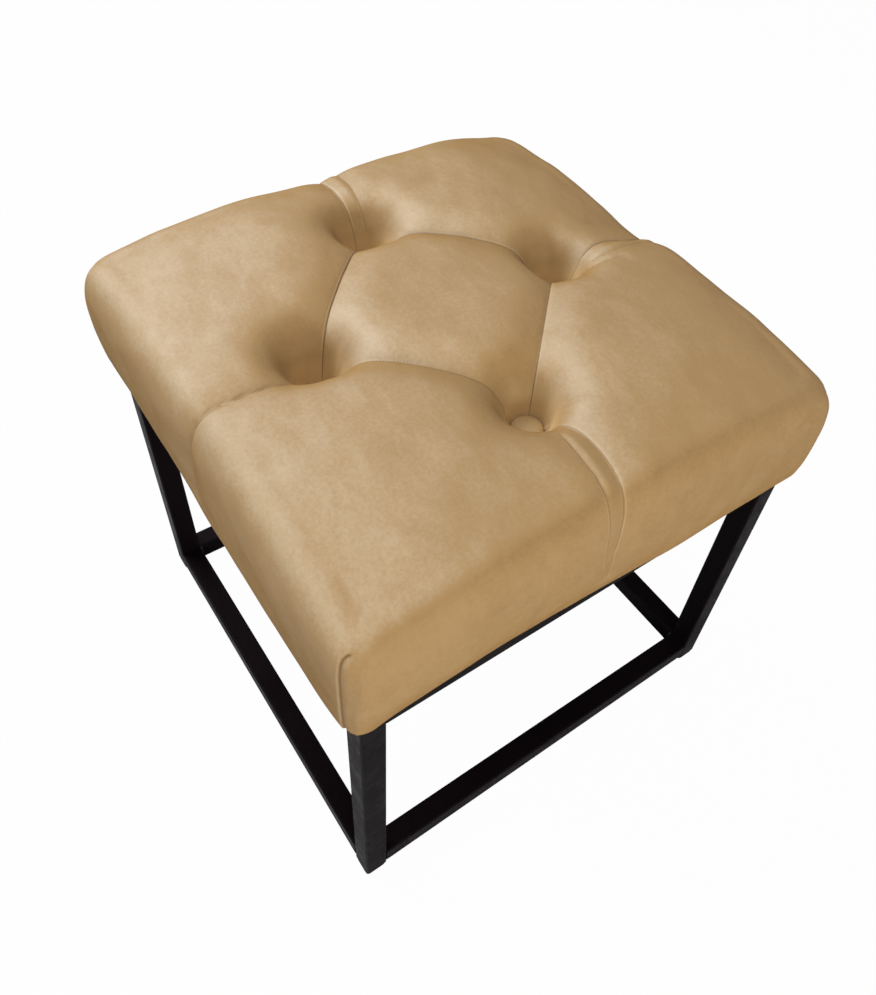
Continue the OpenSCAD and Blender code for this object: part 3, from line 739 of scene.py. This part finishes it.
# How deep the cloth is drawn in, in metres: all of it, and the soft part that the layers below follow.
# Then how far beside the nearest line a point lies, in millimetres, and how strong that line's painted shade
# and highlight are.
def drawnIn(points, pit, downSide):
    count = len(points)
    deep = np.zeros(count)
    soft = np.zeros(count)
    seam = np.full(count, noSeam)
    seamShare = np.zeros(count)
    nearest = np.full(count, veryFar)
    free = (1 - pit) ** 0.7
    form = pleatForm
    for pleat in pleats:
        signed, along, run, away = besideLine(points, pleat["points"])
        distance = np.abs(signed)
        lip = abs(pleat["lip"])
        share = pleatFade(pleat, along, run) * (1 if pleat.get("fold") else downSide)
        below = signed * np.sign(pleat["lip"])
        bell = form["roundShare"] * np.exp(-(distance / pleat["wide"]) ** 2) \
            + (1 - form["roundShare"]) * np.exp(-distance / (form["pointedWide"] * pleat["wide"]))
        step = lip * smoothStep(below / form["stepWide"]) * np.exp(-np.maximum(below, 0) / form["stepFade"])
        groove = pleat["groove"] * np.exp(-((below - form["grooveAt"]) / form["grooveWide"]) ** 2)
        broad = pleat["deep"] * bell * share
        eased = (lip + pleat["groove"]) * share * np.exp(-(distance / form["stepFade"]) ** 2)
        soft = np.maximum(soft, broad + eased)
        deep = np.maximum(deep, broad + (step + groove) * share)
        line = below - pleat.get("lineAt", form["lineAt"])
        rank = np.abs(line) + 30 * (1 - np.minimum(share * 2, 1))  # a faded line gives way to the next
        nearer = rank < nearest
        nearest[nearer] = rank[nearer]
        seam[nearer] = line[nearer] * pleat.get("thin", 1.0)
        window = np.clip(1 - (np.abs(line) / form["lineReach"]) ** 4, 0, 1)
        strength = np.minimum(share * 1.4, 1) * window * min(1, 0.35 + pleat["groove"] / 1.6)
        seamShare[nearer] = strength[nearer]
    return deep * free * millimetre, soft * free * millimetre, seam, seamShare * np.clip(free * 2.2, 0, 1)


# Height of the puckers, in metres
def puckers(plan):
    height = np.zeros(len(plan))
    for i, spot in enumerate(buttonSpots):
        x, y = (plan - spot).T
        distance = np.hypot(x, y) / millimetre
        angle = np.arctan2(y, x)
        rays = 0.0
        for many, share, step, first in puckerForm["rays"]:
            rays = rays + share * np.cos(many * angle + step * i + first)
        rise = smoothStep((distance - puckerForm["start"]) / puckerForm["rise"])
        fade = np.exp(-np.maximum(distance - puckerForm["full"], 0) / puckerForm["fade"])
        height += puckerForm["high"] * rays * (rise * fade)
    return height * millimetre


# Slow unevenness of stuffed cloth, in metres
def unevenness(points):
    x, y = points.T
    total = np.zeros(len(points))
    for i, (size, share) in enumerate(seat["waves"]):
        for j in range(3):
            angle = 2.4 * i + 1.9 * j + 0.6
            phase = fullTurn / size * (x * math.cos(angle) + y * math.sin(angle)) + 1.7 * i + 2.9 * j
            total += share * np.sin(phase) / 1.8
    return total * seat["wave"]


# The grid's points over the top, in plan: its rim follows the rounded outline
def topPlan(cells):
    lines = np.linspace(-1, 1, cells + 1)
    s, t = [g.ravel() for g in np.meshgrid(lines, lines, indexing="ij")]
    reach = np.maximum(np.abs(s), np.abs(t))
    turn = np.where(np.abs(s) >= np.abs(t), np.where(s >= 0, 0, 2), np.where(t >= 0, 1, 3))
    minor = np.select([turn == k for k in range(4)], [t, -s, -t, s])
    share = np.divide(minor, reach, out=np.zeros_like(minor), where=reach > 0)
    square = np.stack([s, t], axis=1) * topHalf
    rounded = outline(turn, share, topHalf, topCorner) * reach[:, None]
    return square + (rounded - square) * (reach ** 4)[:, None], reach


# Points down the side and under the seat: how far out each lies in the unrolled plan, on which side and where
# along it, and how deep it is sunk in. lastAway is the last ring's distance out.
def sidePoints(away, turn, share, sink, floorZ, hemHalf, lastAway):
    start = outline(turn, share, topHalf, topCorner)
    edge = outline(turn, share, seat["half"], seat["cornerRound"])
    outward = edge / np.linalg.norm(edge, axis=1)[:, None]
    startZ = topHeight(start)
    inner = 0.015  # share of the way in where the top's fall is taken
    fall = (topHeight(start * (1 - inner)) - startZ) / (np.linalg.norm(start, axis=1) * inner)
    fall = np.clip(fall, 0, 0.6)
    # From the rim to the fullest point
    part = np.interp(np.minimum(away, upperEnd), profileRun, profileSteps)
    wide = np.interp(part, profileSteps, profileOut)
    risen = np.interp(part, profileSteps, profileUp)
    fullZ = seat["baseZ"] + (seat["fullZ"] - seat["baseZ"]) * (startZ - seat["baseZ"]) / upperTop
    high = startZ - fullZ
    cornerness = np.abs(share) ** 8
    swell = seat["sideSwell"] * (1 - (1 - seat["cornerSwell"]) * cornerness)
    wideRun = seat["shoulderRound"] + swell
    reachOut = wideRun * wide
    z = startZ - high * (1 - risen) - fall * reachOut * (1 - wide)
    spot = np.searchsorted(profileSteps, part).clip(0, len(profileSteps) - 1)
    slopeOut = np.gradient(profileOut, profileSteps)[spot] * wideRun
    slopeDown = fall * slopeOut * (1 - 2 * wide) - np.gradient(profileUp, profileSteps)[spot] * high
    # From there in to the lower edge, then round it
    down = np.clip((away - upperEnd) / lowerStretch, 0, 1)
    less = np.array(seat["tuckLess"])[turn] * smoothStep((share + 0.35) / 0.7)
    drawn = swell + (np.array(seat["tuck"])[turn] - less) * (1 - cornerness)
    lowRadius = seat["lowerRound"]
    lean = np.arctan(2 * drawn / (fullZ - seat["baseZ"] - lowRadius))
    lowTop = seat["baseZ"] + lowRadius * (1 - np.sin(lean))
    bend = np.clip((away - sideEnd) / edgeStretch, 0, 1)
    tilt = np.where(bend > 0, lean + (math.pi / 2 - lean) * bend, np.arctan(np.tan(lean) * down))
    z = np.where(down > 0, fullZ - (fullZ - lowTop) * down, z)
    z = np.where(bend > 0, lowTop - lowRadius * (np.sin(tilt) - np.sin(lean)), z)
    place = start + (edge - start) * (reachOut / seat["shoulderRound"])[:, None]
    tucked = drawn * down ** 2 + np.where(bend > 0, lowRadius * (np.cos(lean) - np.cos(tilt)), 0)
    place = place - edge * (tucked / seat["half"])[:, None]
    if hemHalf:
        under = np.clip((away - lowerEnd) / (lastAway - lowerEnd), 0, 1)
        hem = outline(turn, share, hemHalf, seat["hemRound"])
        place = np.where((away > lowerEnd)[:, None], place + (hem - place) * under[:, None], place)
    # The way a point moves when the layer lies deeper: down on the top, inwards on the side, up below
    steep = np.arctan2(slopeDown, slopeOut)
    lookUp = np.where(away <= upperEnd, np.cos(steep), -np.sin(tilt))
    lookOut = np.where(away <= upperEnd, np.sin(steep), np.cos(tilt))
    place = place - outward * (sink * lookOut)[:, None]
    z = np.where(bend > 0, z, z - sink * np.maximum(lookUp, 0))
    return np.column_stack([place, np.maximum(z, floorZ)])


# One layer of the seat: its points, faces, last ring, and the values that the velvet's painted light and
# shade use.
# inset is how deep it lies under the cloth's face, and fine gives it the pleats' steps and the puckers.
def seatLayer(cells, ringPitch, inset, floorZ, hemHalf=None, fine=False):
    plan, reach = topPlan(cells)
    quads, rim = gridFaces(cells + 1)
    ringTurn = np.repeat(np.arange(4), cells)
    ringShare = np.tile(np.linspace(-1, 1, cells + 1)[:-1], 4)
    columns = len(ringTurn)
    steps = int(lowerEnd / ringPitch)
    rings = np.arange(1, steps + 1) * lowerEnd / steps
    if hemHalf:
        hemRun = seat["half"] - seat["lowerRound"] - hemHalf
        steps = max(2, int(hemRun / seat["hemStep"]))
        rings = np.append(rings, lowerEnd + hemRun * np.arange(1, steps + 1) / steps)
    away = np.repeat(rings, columns)
    turn = np.tile(ringTurn, len(rings))
    share = np.tile(ringShare, len(rings))
    if fine:
        drawn = gather(plan / millimetre) * millimetre
        plan = plan + (drawn - plan) * (1 - reach ** 12)[:, None]
        rimShare = gatherShares(ringTurn, ringShare, np.zeros(columns))
        plan[rim] = outline(ringTurn, rimShare, topHalf, topCorner)
        share = gatherShares(turn, share, away)
    unrolled = turnPoints(turn, np.stack([topHalf + away, share * sideLength], axis=1))

    # What the pleats do on the top, and less and less down the side
    pit = np.max(pitShares(plan), axis=0)
    downSide = np.interp(away, [0, 0.5 * upperEnd, upperEnd, sideEnd, lowerEnd, lowerEnd + 0.02],
        [1.0, 0.75, 0.5, 0.35, 0.2, 0.0])
    calm = np.interp(away, [0, sideEnd, lowerEnd], [1, 0.8, 0])
    deepTop, softTop, seamTop, shareTop = drawnIn(plan / millimetre, pit, 1.0)
    noPit = np.zeros(len(away))
    deepSide, softSide, seamSide, shareSide = drawnIn(unrolled / millimetre, noPit, downSide)
    inside = inset + seat["layerGap"] * smoothStep(inset / millimetre)
    sinkTop = (deepTop - puckers(plan) if fine else softTop + inside) - unevenness(plan / millimetre)
    sinkSide = (deepSide if fine else softSide + inside) - unevenness(unrolled / millimetre) * calm
    top = np.column_stack([plan, topHeight(plan) - sinkTop])
    below = sidePoints(away, turn, share, sinkSide, floorZ, hemHalf, rings[-1])

    ring = np.vstack([rim, len(plan) + np.arange(len(below)).reshape(len(rings), columns)])
    after = np.roll(ring, -1, axis=1)
    walls = np.stack([ring[:-1], ring[1:], after[1:], after[:-1]], axis=-1).reshape(-1, 4)
    values = {
        "pit": np.concatenate([pit, noPit]),
        "seam": np.concatenate([seamTop, seamSide]),
        "seamShare": np.concatenate([shareTop, shareSide]),
    }
    return np.vstack([top, below]), np.vstack([quads, walls]), ring[-1], values


# Closes two layers into one body along their last rings, where the inner one may have a third of the points
def joinLayers(outer, inner):
    outerPoints, outerFaces, outerRing, outerValues = outer
    innerPoints, innerFaces, innerRing, innerValues = inner
    base = len(outerPoints)
    faces = outerFaces.tolist() + (innerFaces[:, ::-1] + base).tolist()
    ratio = len(outerRing) // len(innerRing)
    inside = (innerRing + base).tolist()
    outside = outerRing.tolist()
    for j in range(len(inside)):
        a, b = inside[j], inside[(j + 1) % len(inside)]
        o = [outside[(ratio * j + i) % len(outside)] for i in range(ratio + 1)]
        if ratio == 1:
            faces.append([o[0], a, b, o[1]])
        else:
            faces += [[o[0], a, o[1]], [o[1], a, b, o[2]], [o[2], b, o[3]]]
    values = {name: np.concatenate([outerValues[name], innerValues[name]]) for name in outerValues}
    return np.vstack([outerPoints, innerPoints]), faces, values


cloth = seat["clothThick"]
outerLayer = seatLayer(seat["cells"], seat["ringPitch"], 0.0, seat["baseZ"], seat["hemHalf"], True)
innerLayer = seatLayer(seat["cells"] // 3, seat["innerPitch"], cloth, seat["baseZ"] + cloth, seat["hemHalf"])
points, faces, values = joinLayers(outerLayer, innerLayer)
cover = makeMesh("velvet_cover_cloth", points, faces, velvet, **values)
settle(cover, "velvet_cover")
print("velvet cover made", len(points))

waddingOut = cloth + seat["layerGap"]
waddingIn = waddingOut + seat["waddingThick"]
waddingLow = seat["baseZ"] + waddingOut
outerLayer, innerLayer = [seatLayer(seat["waddingCells"], seat["waddingPitch"], inset, waddingLow)
    for inset in (waddingOut, waddingIn)]
points, faces, values = joinLayers(outerLayer, innerLayer)
wadding = makeMesh("seat_wadding_layer", points, faces, finishes["wadding"])
settle(wadding, "seat_wadding")

foamIn = waddingIn + seat["layerGap"]
points, faces, ring, values = seatLayer(seat["foamCells"], seat["foamPitch"], foamIn, seat["foamLow"])
foam = makeMesh("seat_foam_block", points, faces.tolist() + [ring[::-1].tolist()], finishes["foam"])
settle(foam, "seat_foam")
print("wadding and foam made")

# Values to change: the covered buttons
buttonShape = {
    "radius": 0.012,
    "dome": 0.0046,  # height of the dome above the rim
    "rimRound": 0.0016,
    "backFall": 0.0011,  # how much lower the cloth's inner edge lies than the rim's underside
    "puckers": 22,
    "puckerDeep": 0.00022,
    "pit": 0.60,  # how much of the painted light in the pits its cloth takes
    "columns": 96,
    # the metal plate pressed into the back: radius, and height above the cloth's inner edge
    "plate": [(0.0075, 0.0004), (0.0075, -0.0003), (0.0071, -0.0006), (0.0035, -0.0006), (0.003, -0.0012),
        (0.0005, -0.0013)],
    "eyeRadius": 0.0022,
    "eyeWire": 0.0006,
}


# The cap's profile from its middle over the dome and round the rim to the plate, as radius and height
def buttonProfile(shape, rimZ):
    profile = []
    for i in range(1, 15):
        a = math.radians(90 * i / 14)
        rise = math.cos(a) ** 0.9 if i < 14 else 0
        profile.append((shape["radius"] * math.sin(a), rimZ + shape["dome"] * rise))
    for i in range(1, 7):
        a = math.radians(90 * i / 6)
        inward, fall = shape["rimRound"] * (1 - math.cos(a)), shape["rimRound"] * math.sin(a)
        profile.append((shape["radius"] - inward, rimZ - fall))
    innerRadius = shape["radius"] - shape["rimRound"]
    for share in (0.25, 0.5, 0.75, 1.0):
        radius = innerRadius + (shape["plate"][0][0] - innerRadius) * share
        profile.append((radius, rimZ - shape["rimRound"] - shape["backFall"] * share))
    return profile


def makeButton(name, node, shape):
    low, high = [Vector(v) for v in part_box(node)]
    x, y = (low.x + high.x) / 2, (low.y + high.y) / 2
    angles = ringAngles(shape["columns"])
    profile = buttonProfile(shape, high.z - shape["dome"])
    rings = []
    for i, (radius, z) in enumerate(profile):
        pucker = np.abs(np.cos(angles * shape["puckers"] / 2 + 0.6 * np.sin(3 * angles)))
        wavy = radius - smoothStep((i - 8) / 8) * shape["puckerDeep"] * pucker
        rings.append(flatRing(wavy, z, angles, x, y))
    cap = ringBody(rings[::-1])
    plateZ = profile[-1][1]
    plate = ringBody([flatRing(radius, plateZ + z, angles, x, y) for radius, z in shape["plate"][::-1]])
    eyeZ = low.z + shape["eyeRadius"] + shape["eyeWire"]
    eyePath = [(x + shape["eyeRadius"] * math.cos(a), y, eyeZ + shape["eyeRadius"] * math.sin(a))
        for a in ringAngles(32)]
    eye = wireBody(eyePath, shape["eyeWire"], 10, closed=True)
    points, faces, kinds = joinBodies((cap, 0), (plate, 1), (eye, 1))
    count = len(points)
    made = makeMesh(name, points, faces, velvet, seam=np.full(count, noSeam), seamShare=np.zeros(count),
        pit=np.full(count, shape["pit"]))
    made.data.materials.append(finishes["zinc"])
    made.data.polygons.foreach_set("material_index", kinds)
    made.data.update()
    settle(made, node)


for side in buttonSides:
    makeButton("covered_button_" + side, "button_" + side, buttonShape)
print("buttons made")


# A random vector on every point, between two limits and scaled
def scatterVector(tree, seed, low, high, scale):
    limits = {0: low, 1: high, "Seed": seed}
    drawn = addNode(tree, "FunctionNodeRandomValue", limits, data_type="FLOAT_VECTOR")
    inputs = {0: drawn.outputs[0], "Scale": scale}
    return addNode(tree, "ShaderNodeVectorMath", inputs, operation="SCALE").outputs[0]


# Geometry nodes: one copy of a piece on every point of a guide mesh, turned as the point says
def makePlacer():
    tree = bpy.data.node_groups.new("place pieces", "GeometryNodeTree")
    sockets = {"Guide": ("Geometry", None), "Piece": ("Object", None), "Sway": ("Float", 0.03),
        "Shift": ("Float", 0.0003), "Seed": ("Int", 3), "Finish": ("Material", None)}
    for name, (kind, value) in sockets.items():
        socket = tree.interface.new_socket(name=name, in_out="INPUT", socket_type="NodeSocket" + kind)
        if value is not None:
            socket.default_value = value
    tree.interface.new_socket(name="Pieces", in_out="OUTPUT", socket_type="NodeSocketGeometry")
    given = tree.nodes.new("NodeGroupInput").outputs
    piece = addNode(tree, "GeometryNodeObjectInfo", {"Object": given["Piece"], "As Instance": True})
    turned = addNode(tree, "GeometryNodeInputNamedAttribute", {"Name": "turn"}, data_type="FLOAT_VECTOR")
    sway = scatterVector(tree, given["Seed"], (-1, -1, -1), (1, 1, 1), given["Sway"])
    shiftSeed = mathNode(tree, "ADD", given["Seed"], 7.0)
    shift = scatterVector(tree, shiftSeed, (-1, -1, 0), (1, 1, 0), given["Shift"])
    angle = addNode(tree, "ShaderNodeVectorMath", {0: turned.outputs[0], 1: sway}, operation="ADD")
    moved = addNode(tree, "GeometryNodeSetPosition", {"Geometry": given["Guide"], "Offset": shift})
    placed = addNode(tree, "GeometryNodeInstanceOnPoints", {"Points": moved.outputs[0],
        "Instance": piece.outputs["Geometry"], "Rotation": angle.outputs[0]})
    solid = addNode(tree, "GeometryNodeRealizeInstances", {"Geometry": placed.outputs[0]})
    finished = addNode(tree, "GeometryNodeSetMaterial", {"Geometry": solid.outputs[0],
        "Material": given["Finish"]})
    tree.links.new(finished.outputs[0], tree.nodes.new("NodeGroupOutput").inputs["Pieces"])
    return tree


placer = makePlacer()


# spots holds a place and a turn for each copy; sway is in radians and shift in metres
def placePieces(name, body, spots, finish, sway, shift, seed):
    piece = makeMesh(name + " piece", *body, finish)
    guideMesh = bpy.data.meshes.new(name + " guide")
    guideMesh.from_pydata([place for place, turn in spots], [], [])
    turns = np.array([turn for place, turn in spots], dtype=np.float32)
    guideMesh.attributes.new("turn", "FLOAT_VECTOR", "POINT").data.foreach_set("vector", turns.ravel())
    guide = newObject(name + " guide", guideMesh)
    modifier = guide.modifiers.new("place pieces", "NODES")
    modifier.node_group = placer
    settings = {"Piece": piece, "Sway": sway, "Shift": shift, "Seed": seed, "Finish": finish}
    for socket in placer.interface.items_tree:
        if socket.in_out == "INPUT" and socket.name in settings:
            modifier[socket.identifier] = settings[socket.name]
    bpy.context.view_layer.update()
    evaluated = guide.evaluated_get(bpy.context.evaluated_depsgraph_get())
    mesh = bpy.data.meshes.new_from_object(evaluated)
    guide.modifiers.remove(modifier)
    bpy.data.objects.remove(guide)
    bpy.data.objects.remove(piece)
    mesh.name = name
    return newObject(name, mesh)


# A point turned round the seat's middle by an angle
def turnAbout(a, x, y):
    return x * math.cos(a) - y * math.sin(a), x * math.sin(a) + y * math.cos(a)


# Values to change: staples, and their rows along the four sides
stapleShape = {"width": 0.010, "leg": 0.0078, "wire": 0.00035, "bend": 0.0007}
stapleRows = {
    "cover_staples": {"count": 9, "out": 0.175, "reach": 0.170, "z": 0.298,
        "sway": 0.02, "shift": 0.0002, "seed": 5},
    "dust_cover_staples": {"count": 6, "out": 0.167, "reach": 0.159, "z": 0.2968,
        "sway": 0.03, "shift": 0.0003, "seed": 11},
}


def stapleBody(shape):
    half = shape["width"] / 2 - shape["wire"]
    bend = shape["bend"]
    base = shape["wire"]
    path = [(-half, 0, shape["leg"]), (-half, 0, base + bend + 0.002), (-half, 0, base + bend)]
    for a in np.radians([20, 45, 70, 90]):
        path.append((-half + bend * (1 - math.cos(a)), 0, base + bend * (1 - math.sin(a))))
    return wireBody(path + [(-x, y, z) for x, y, z in path[::-1]], shape["wire"])


for node, row in stapleRows.items():
    alongs = [row["reach"] * (2 * (i + 0.5) / row["count"] - 1) for i in range(row["count"])]
    spots = [((*turnAbout(a, along, row["out"]), row["z"]), (0, 0, a)) for a in quarters for along in alongs]
    staples = placePieces(node + "_wire", stapleBody(stapleShape), spots, finishes["zinc"], row["sway"],
        row["shift"], row["seed"])
    settle(staples, node)

# Values to change: seat screws
screwShape = {
    "head": 0.0045,  # radii of head, thread and core
    "shank": 0.0021,
    "root": 0.00165,
    "headHigh": 0.0028,
    "long": 0.032,
    "plain": 0.006,  # length without a thread
    "tip": 0.004,
    "pitch": 0.0018,
    "cross": 0.0026,  # half length, half width and depth of the cross in the head
    "crossHalf": 0.00062,
    "crossDeep": 0.0016,
    "columns": 40,
    "along": 0.12,  # where they stand along a rail
    "z": 0.278,
}


def screwBody(shape):
    angles = ringAngles(shape["columns"])
    head, root = shape["head"], shape["root"]
    rings = []
    # The head: a low dome with a cross pressed into it, seen from below
    for share in (0.06, 0.12, 0.18, 0.24, 0.3, 0.36, 0.42, 0.48, 0.54, 0.6, 0.68, 0.78, 0.88, 0.95, 1.0):
        x, y = share * head * np.cos(angles), share * head * np.sin(angles)
        dome = -shape["headHigh"] + shape["headHigh"] * 0.55 * share ** 3.2
        arm = np.minimum(np.abs(x), np.abs(y)) / shape["crossHalf"]
        reach = np.maximum(np.abs(x), np.abs(y)) / shape["cross"]
        inside = smoothStep((1.25 - arm) / 0.5) * smoothStep((1.1 - reach) / 0.2)
        sunk = shape["crossDeep"] * inside * (1 - 0.45 * np.clip(reach, 0, 1))
        rings.append(flatRing(share * head, dome + sunk, angles))
    rings.append(flatRing(head, -0.0004, angles))
    rings.append(flatRing(head - 0.0003, 0.0, angles))
    length = shape["long"] - 0.0002
    for z in np.arange(0.0, length, 0.0003):
        taper = min(1.0, (length - z) / shape["tip"]) ** 0.8
        turn = np.mod(z / shape["pitch"] + angles / fullTurn, 1.0)
        ridge = np.clip(1 - np.abs(turn - 0.5) * 2 / 0.42, 0, 1) if z > shape["plain"] else 0.9
        rings.append(flatRing((root + (shape["shank"] - root) * ridge) * taper, z, angles))
    return ringBody(rings)


spots = []
for k, a in enumerate(quarters):
    for along, extra in ((-screwShape["along"], 0.0), (screwShape["along"], 0.4)):
        spots.append(((*turnAbout(a, along, tubeOut), screwShape["z"]), (0, 0, a + 0.7 * k + extra)))
screws = placePieces("seat_screws_threaded", screwBody(screwShape), spots, finishes["zinc"], 0.0, 0.0, 2)
settle(screws, "seat_screws")

# Values to change: weld beads, one ripple after another
weldShape = {"radius": 0.0024, "thick": 0.0011, "pitch": 0.00125, "run": 0.0155, "columns": 14,
    "tubeHalf": 0.01, "sway": 0.12, "shift": 0.0001, "seeds": {"lower": 4, "upper": 9}}


def rippleBody(shape):
    angles = ringAngles(shape["columns"])
    rings = []
    for i in range(1, 8):
        a = math.pi * i / 8
        rings.append(flatRing(shape["radius"] * math.sin(a) ** 0.8, -shape["thick"] * math.cos(a), angles))
    return ringBody(rings)


# Beads in each corner of the frame: one up the leg, and one on either rail
def weldSpots(z, shape):
    spots = []
    count = int(shape["run"] / shape["pitch"])
    inner = shape["tubeHalf"] - tubeOut
    low = z - shape["tubeHalf"]
    for a in quarters:
        for i in range(count + 1):
            along = (i / count - 0.5) * shape["run"]
            spots.append(((*turnAbout(a, inner, inner), z + along), (0, 0, a)))
            spots.append(((*turnAbout(a, inner, along - tubeOut), low), (math.pi / 2, 0, a)))
            spots.append(((*turnAbout(a, along - tubeOut, inner), low), (math.pi / 2, 0, a + math.pi / 2)))
    return spots


for level, z in railHeights.items():
    beads = placePieces(level + "_weld_beads", rippleBody(weldShape), weldSpots(z, weldShape),
        finishes["weld coat"], weldShape["sway"], weldShape["shift"], weldShape["seeds"][level])
    settle(beads, level + "_welds")
print("fixings and welds placed")

# Values to change: the cloth under the board
dustShape = {"half": 0.175, "low": 0.2975, "thick": 0.0004, "sag": 0.0012, "held": 0.008, "cells": 120}


def makeDustCover(shape):
    n = shape["cells"] + 1
    lines = np.linspace(-shape["half"], shape["half"], n)
    x, y = [g.ravel() for g in np.meshgrid(lines, lines, indexing="ij")]
    inward = (shape["half"] - np.maximum(np.abs(x), np.abs(y))) / shape["held"]
    free = smoothStep((inward - 1.2) / 4)
    pull = 0.35 * np.sin(x * 61 + 1.0) * np.sin(y * 47 + 0.4) + 0.25 * np.sin((x + y) * 83) + 0.6
    lower = np.column_stack([x, y, shape["low"] - shape["sag"] * free * pull])
    upper = lower + [0, 0, shape["thick"]]
    quads, rim = gridFaces(n)
    after = np.roll(rim, -1)
    wall = np.stack([rim, after, after + n * n, rim + n * n], axis=-1)
    faces = quads[:, ::-1].tolist() + (quads + n * n).tolist() + wall.tolist()
    return makeMesh("dust_cover_cloth", np.vstack([lower, upper]), faces, dustCloth)


dustCover = makeDustCover(dustShape)
settle(dustCover, "dust_cover")
print("dust cover made")

# Values to change: the studio, its lamps as name: (place, target, size, power), and the camera
studio = {"floorHalf": 6.0, "floorTone": 0.55, "shadowShare": 0.02, "skyTone": 0.30}
lamps = {
    "back softbox": ((-0.65, 1.75, 1.9), (0, 0, 0.4), (1.6, 1.0), 48),
    "top softbox": ((-0.25, -0.35, 2.6), (0, 0, 0.35), (1.4, 1.4), 9),
    "front fill": ((-0.6, -2.3, 0.9), (0, 0, 0.3), (1.6, 1.1), 42),
}
view = {"place": (-0.3137, -0.4150, 0.8265), "turn": (0.736167, -0.071620, -0.619379), "lens": 32.08,
    "shift": (-0.0345, -0.0504)}

# The floor takes shadows and light, and the camera sees it nearly as a plain glow
floorMaterial, tree, shader, place = newMaterial("floor")
tone = studio["floorTone"]
setInputs(tree, shader, {"Base Color": (tone, tone, tone, 1), "Roughness": 0.9, "Specular IOR Level": 0.1})
surface = shader.outputs[0].links[0].to_socket
glow = addNode(tree, "ShaderNodeEmission", {"Color": (1, 1, 1, 1), "Strength": 1.0})
seen = addNode(tree, "ShaderNodeLightPath").outputs["Is Camera Ray"]
glowShare = mathNode(tree, "MULTIPLY", seen, 1 - studio["shadowShare"])
both = addNode(tree, "ShaderNodeMixShader", {0: glowShare, 1: shader.outputs[0], 2: glow.outputs[0]})
tree.links.new(both.outputs[0], surface)
h = studio["floorHalf"]
corners = [(-h, -h, 0), (h, -h, 0), (h, h, 0), (-h, h, 0)]
floor = makeMesh("floor", corners, [(0, 1, 2, 3)], floorMaterial, smooth=False)

world = bpy.data.worlds.new("studio")
bpy.context.scene.world = world
world.use_nodes = True
tree = world.node_tree
tree.nodes.clear()
seen = addNode(tree, "ShaderNodeLightPath").outputs["Is Camera Ray"]
strength = mathNode(tree, "ADD", studio["skyTone"], mathNode(tree, "MULTIPLY", seen, 1 - studio["skyTone"]))
sky = addNode(tree, "ShaderNodeBackground", {"Color": (1, 1, 1, 1), "Strength": strength})
tree.links.new(sky.outputs[0], tree.nodes.new("ShaderNodeOutputWorld").inputs[0])

for name, (place, target, size, power) in lamps.items():
    light = bpy.data.lights.new(name, "AREA")
    light.shape = "RECTANGLE"
    light.size, light.size_y = size
    light.energy = power
    lamp = newObject(name, light)
    lamp.location = place
    lamp.rotation_euler = (Vector(target) - Vector(place)).to_track_quat("-Z", "Y").to_euler()
    lamp.visible_glossy = name != "front fill"

cameraData = bpy.data.cameras.new("camera")
cameraData.lens = view["lens"]
cameraData.sensor_width = 36
cameraData.sensor_fit = "AUTO"
cameraData.shift_x, cameraData.shift_y = view["shift"]
cameraData.clip_start = 0.01
camera = newObject("camera", cameraData)
camera.location = view["place"]
camera.rotation_euler = view["turn"]
bpy.context.scene.camera = camera
bpy.context.scene.view_settings.view_transform = "Standard"
print("stage set")
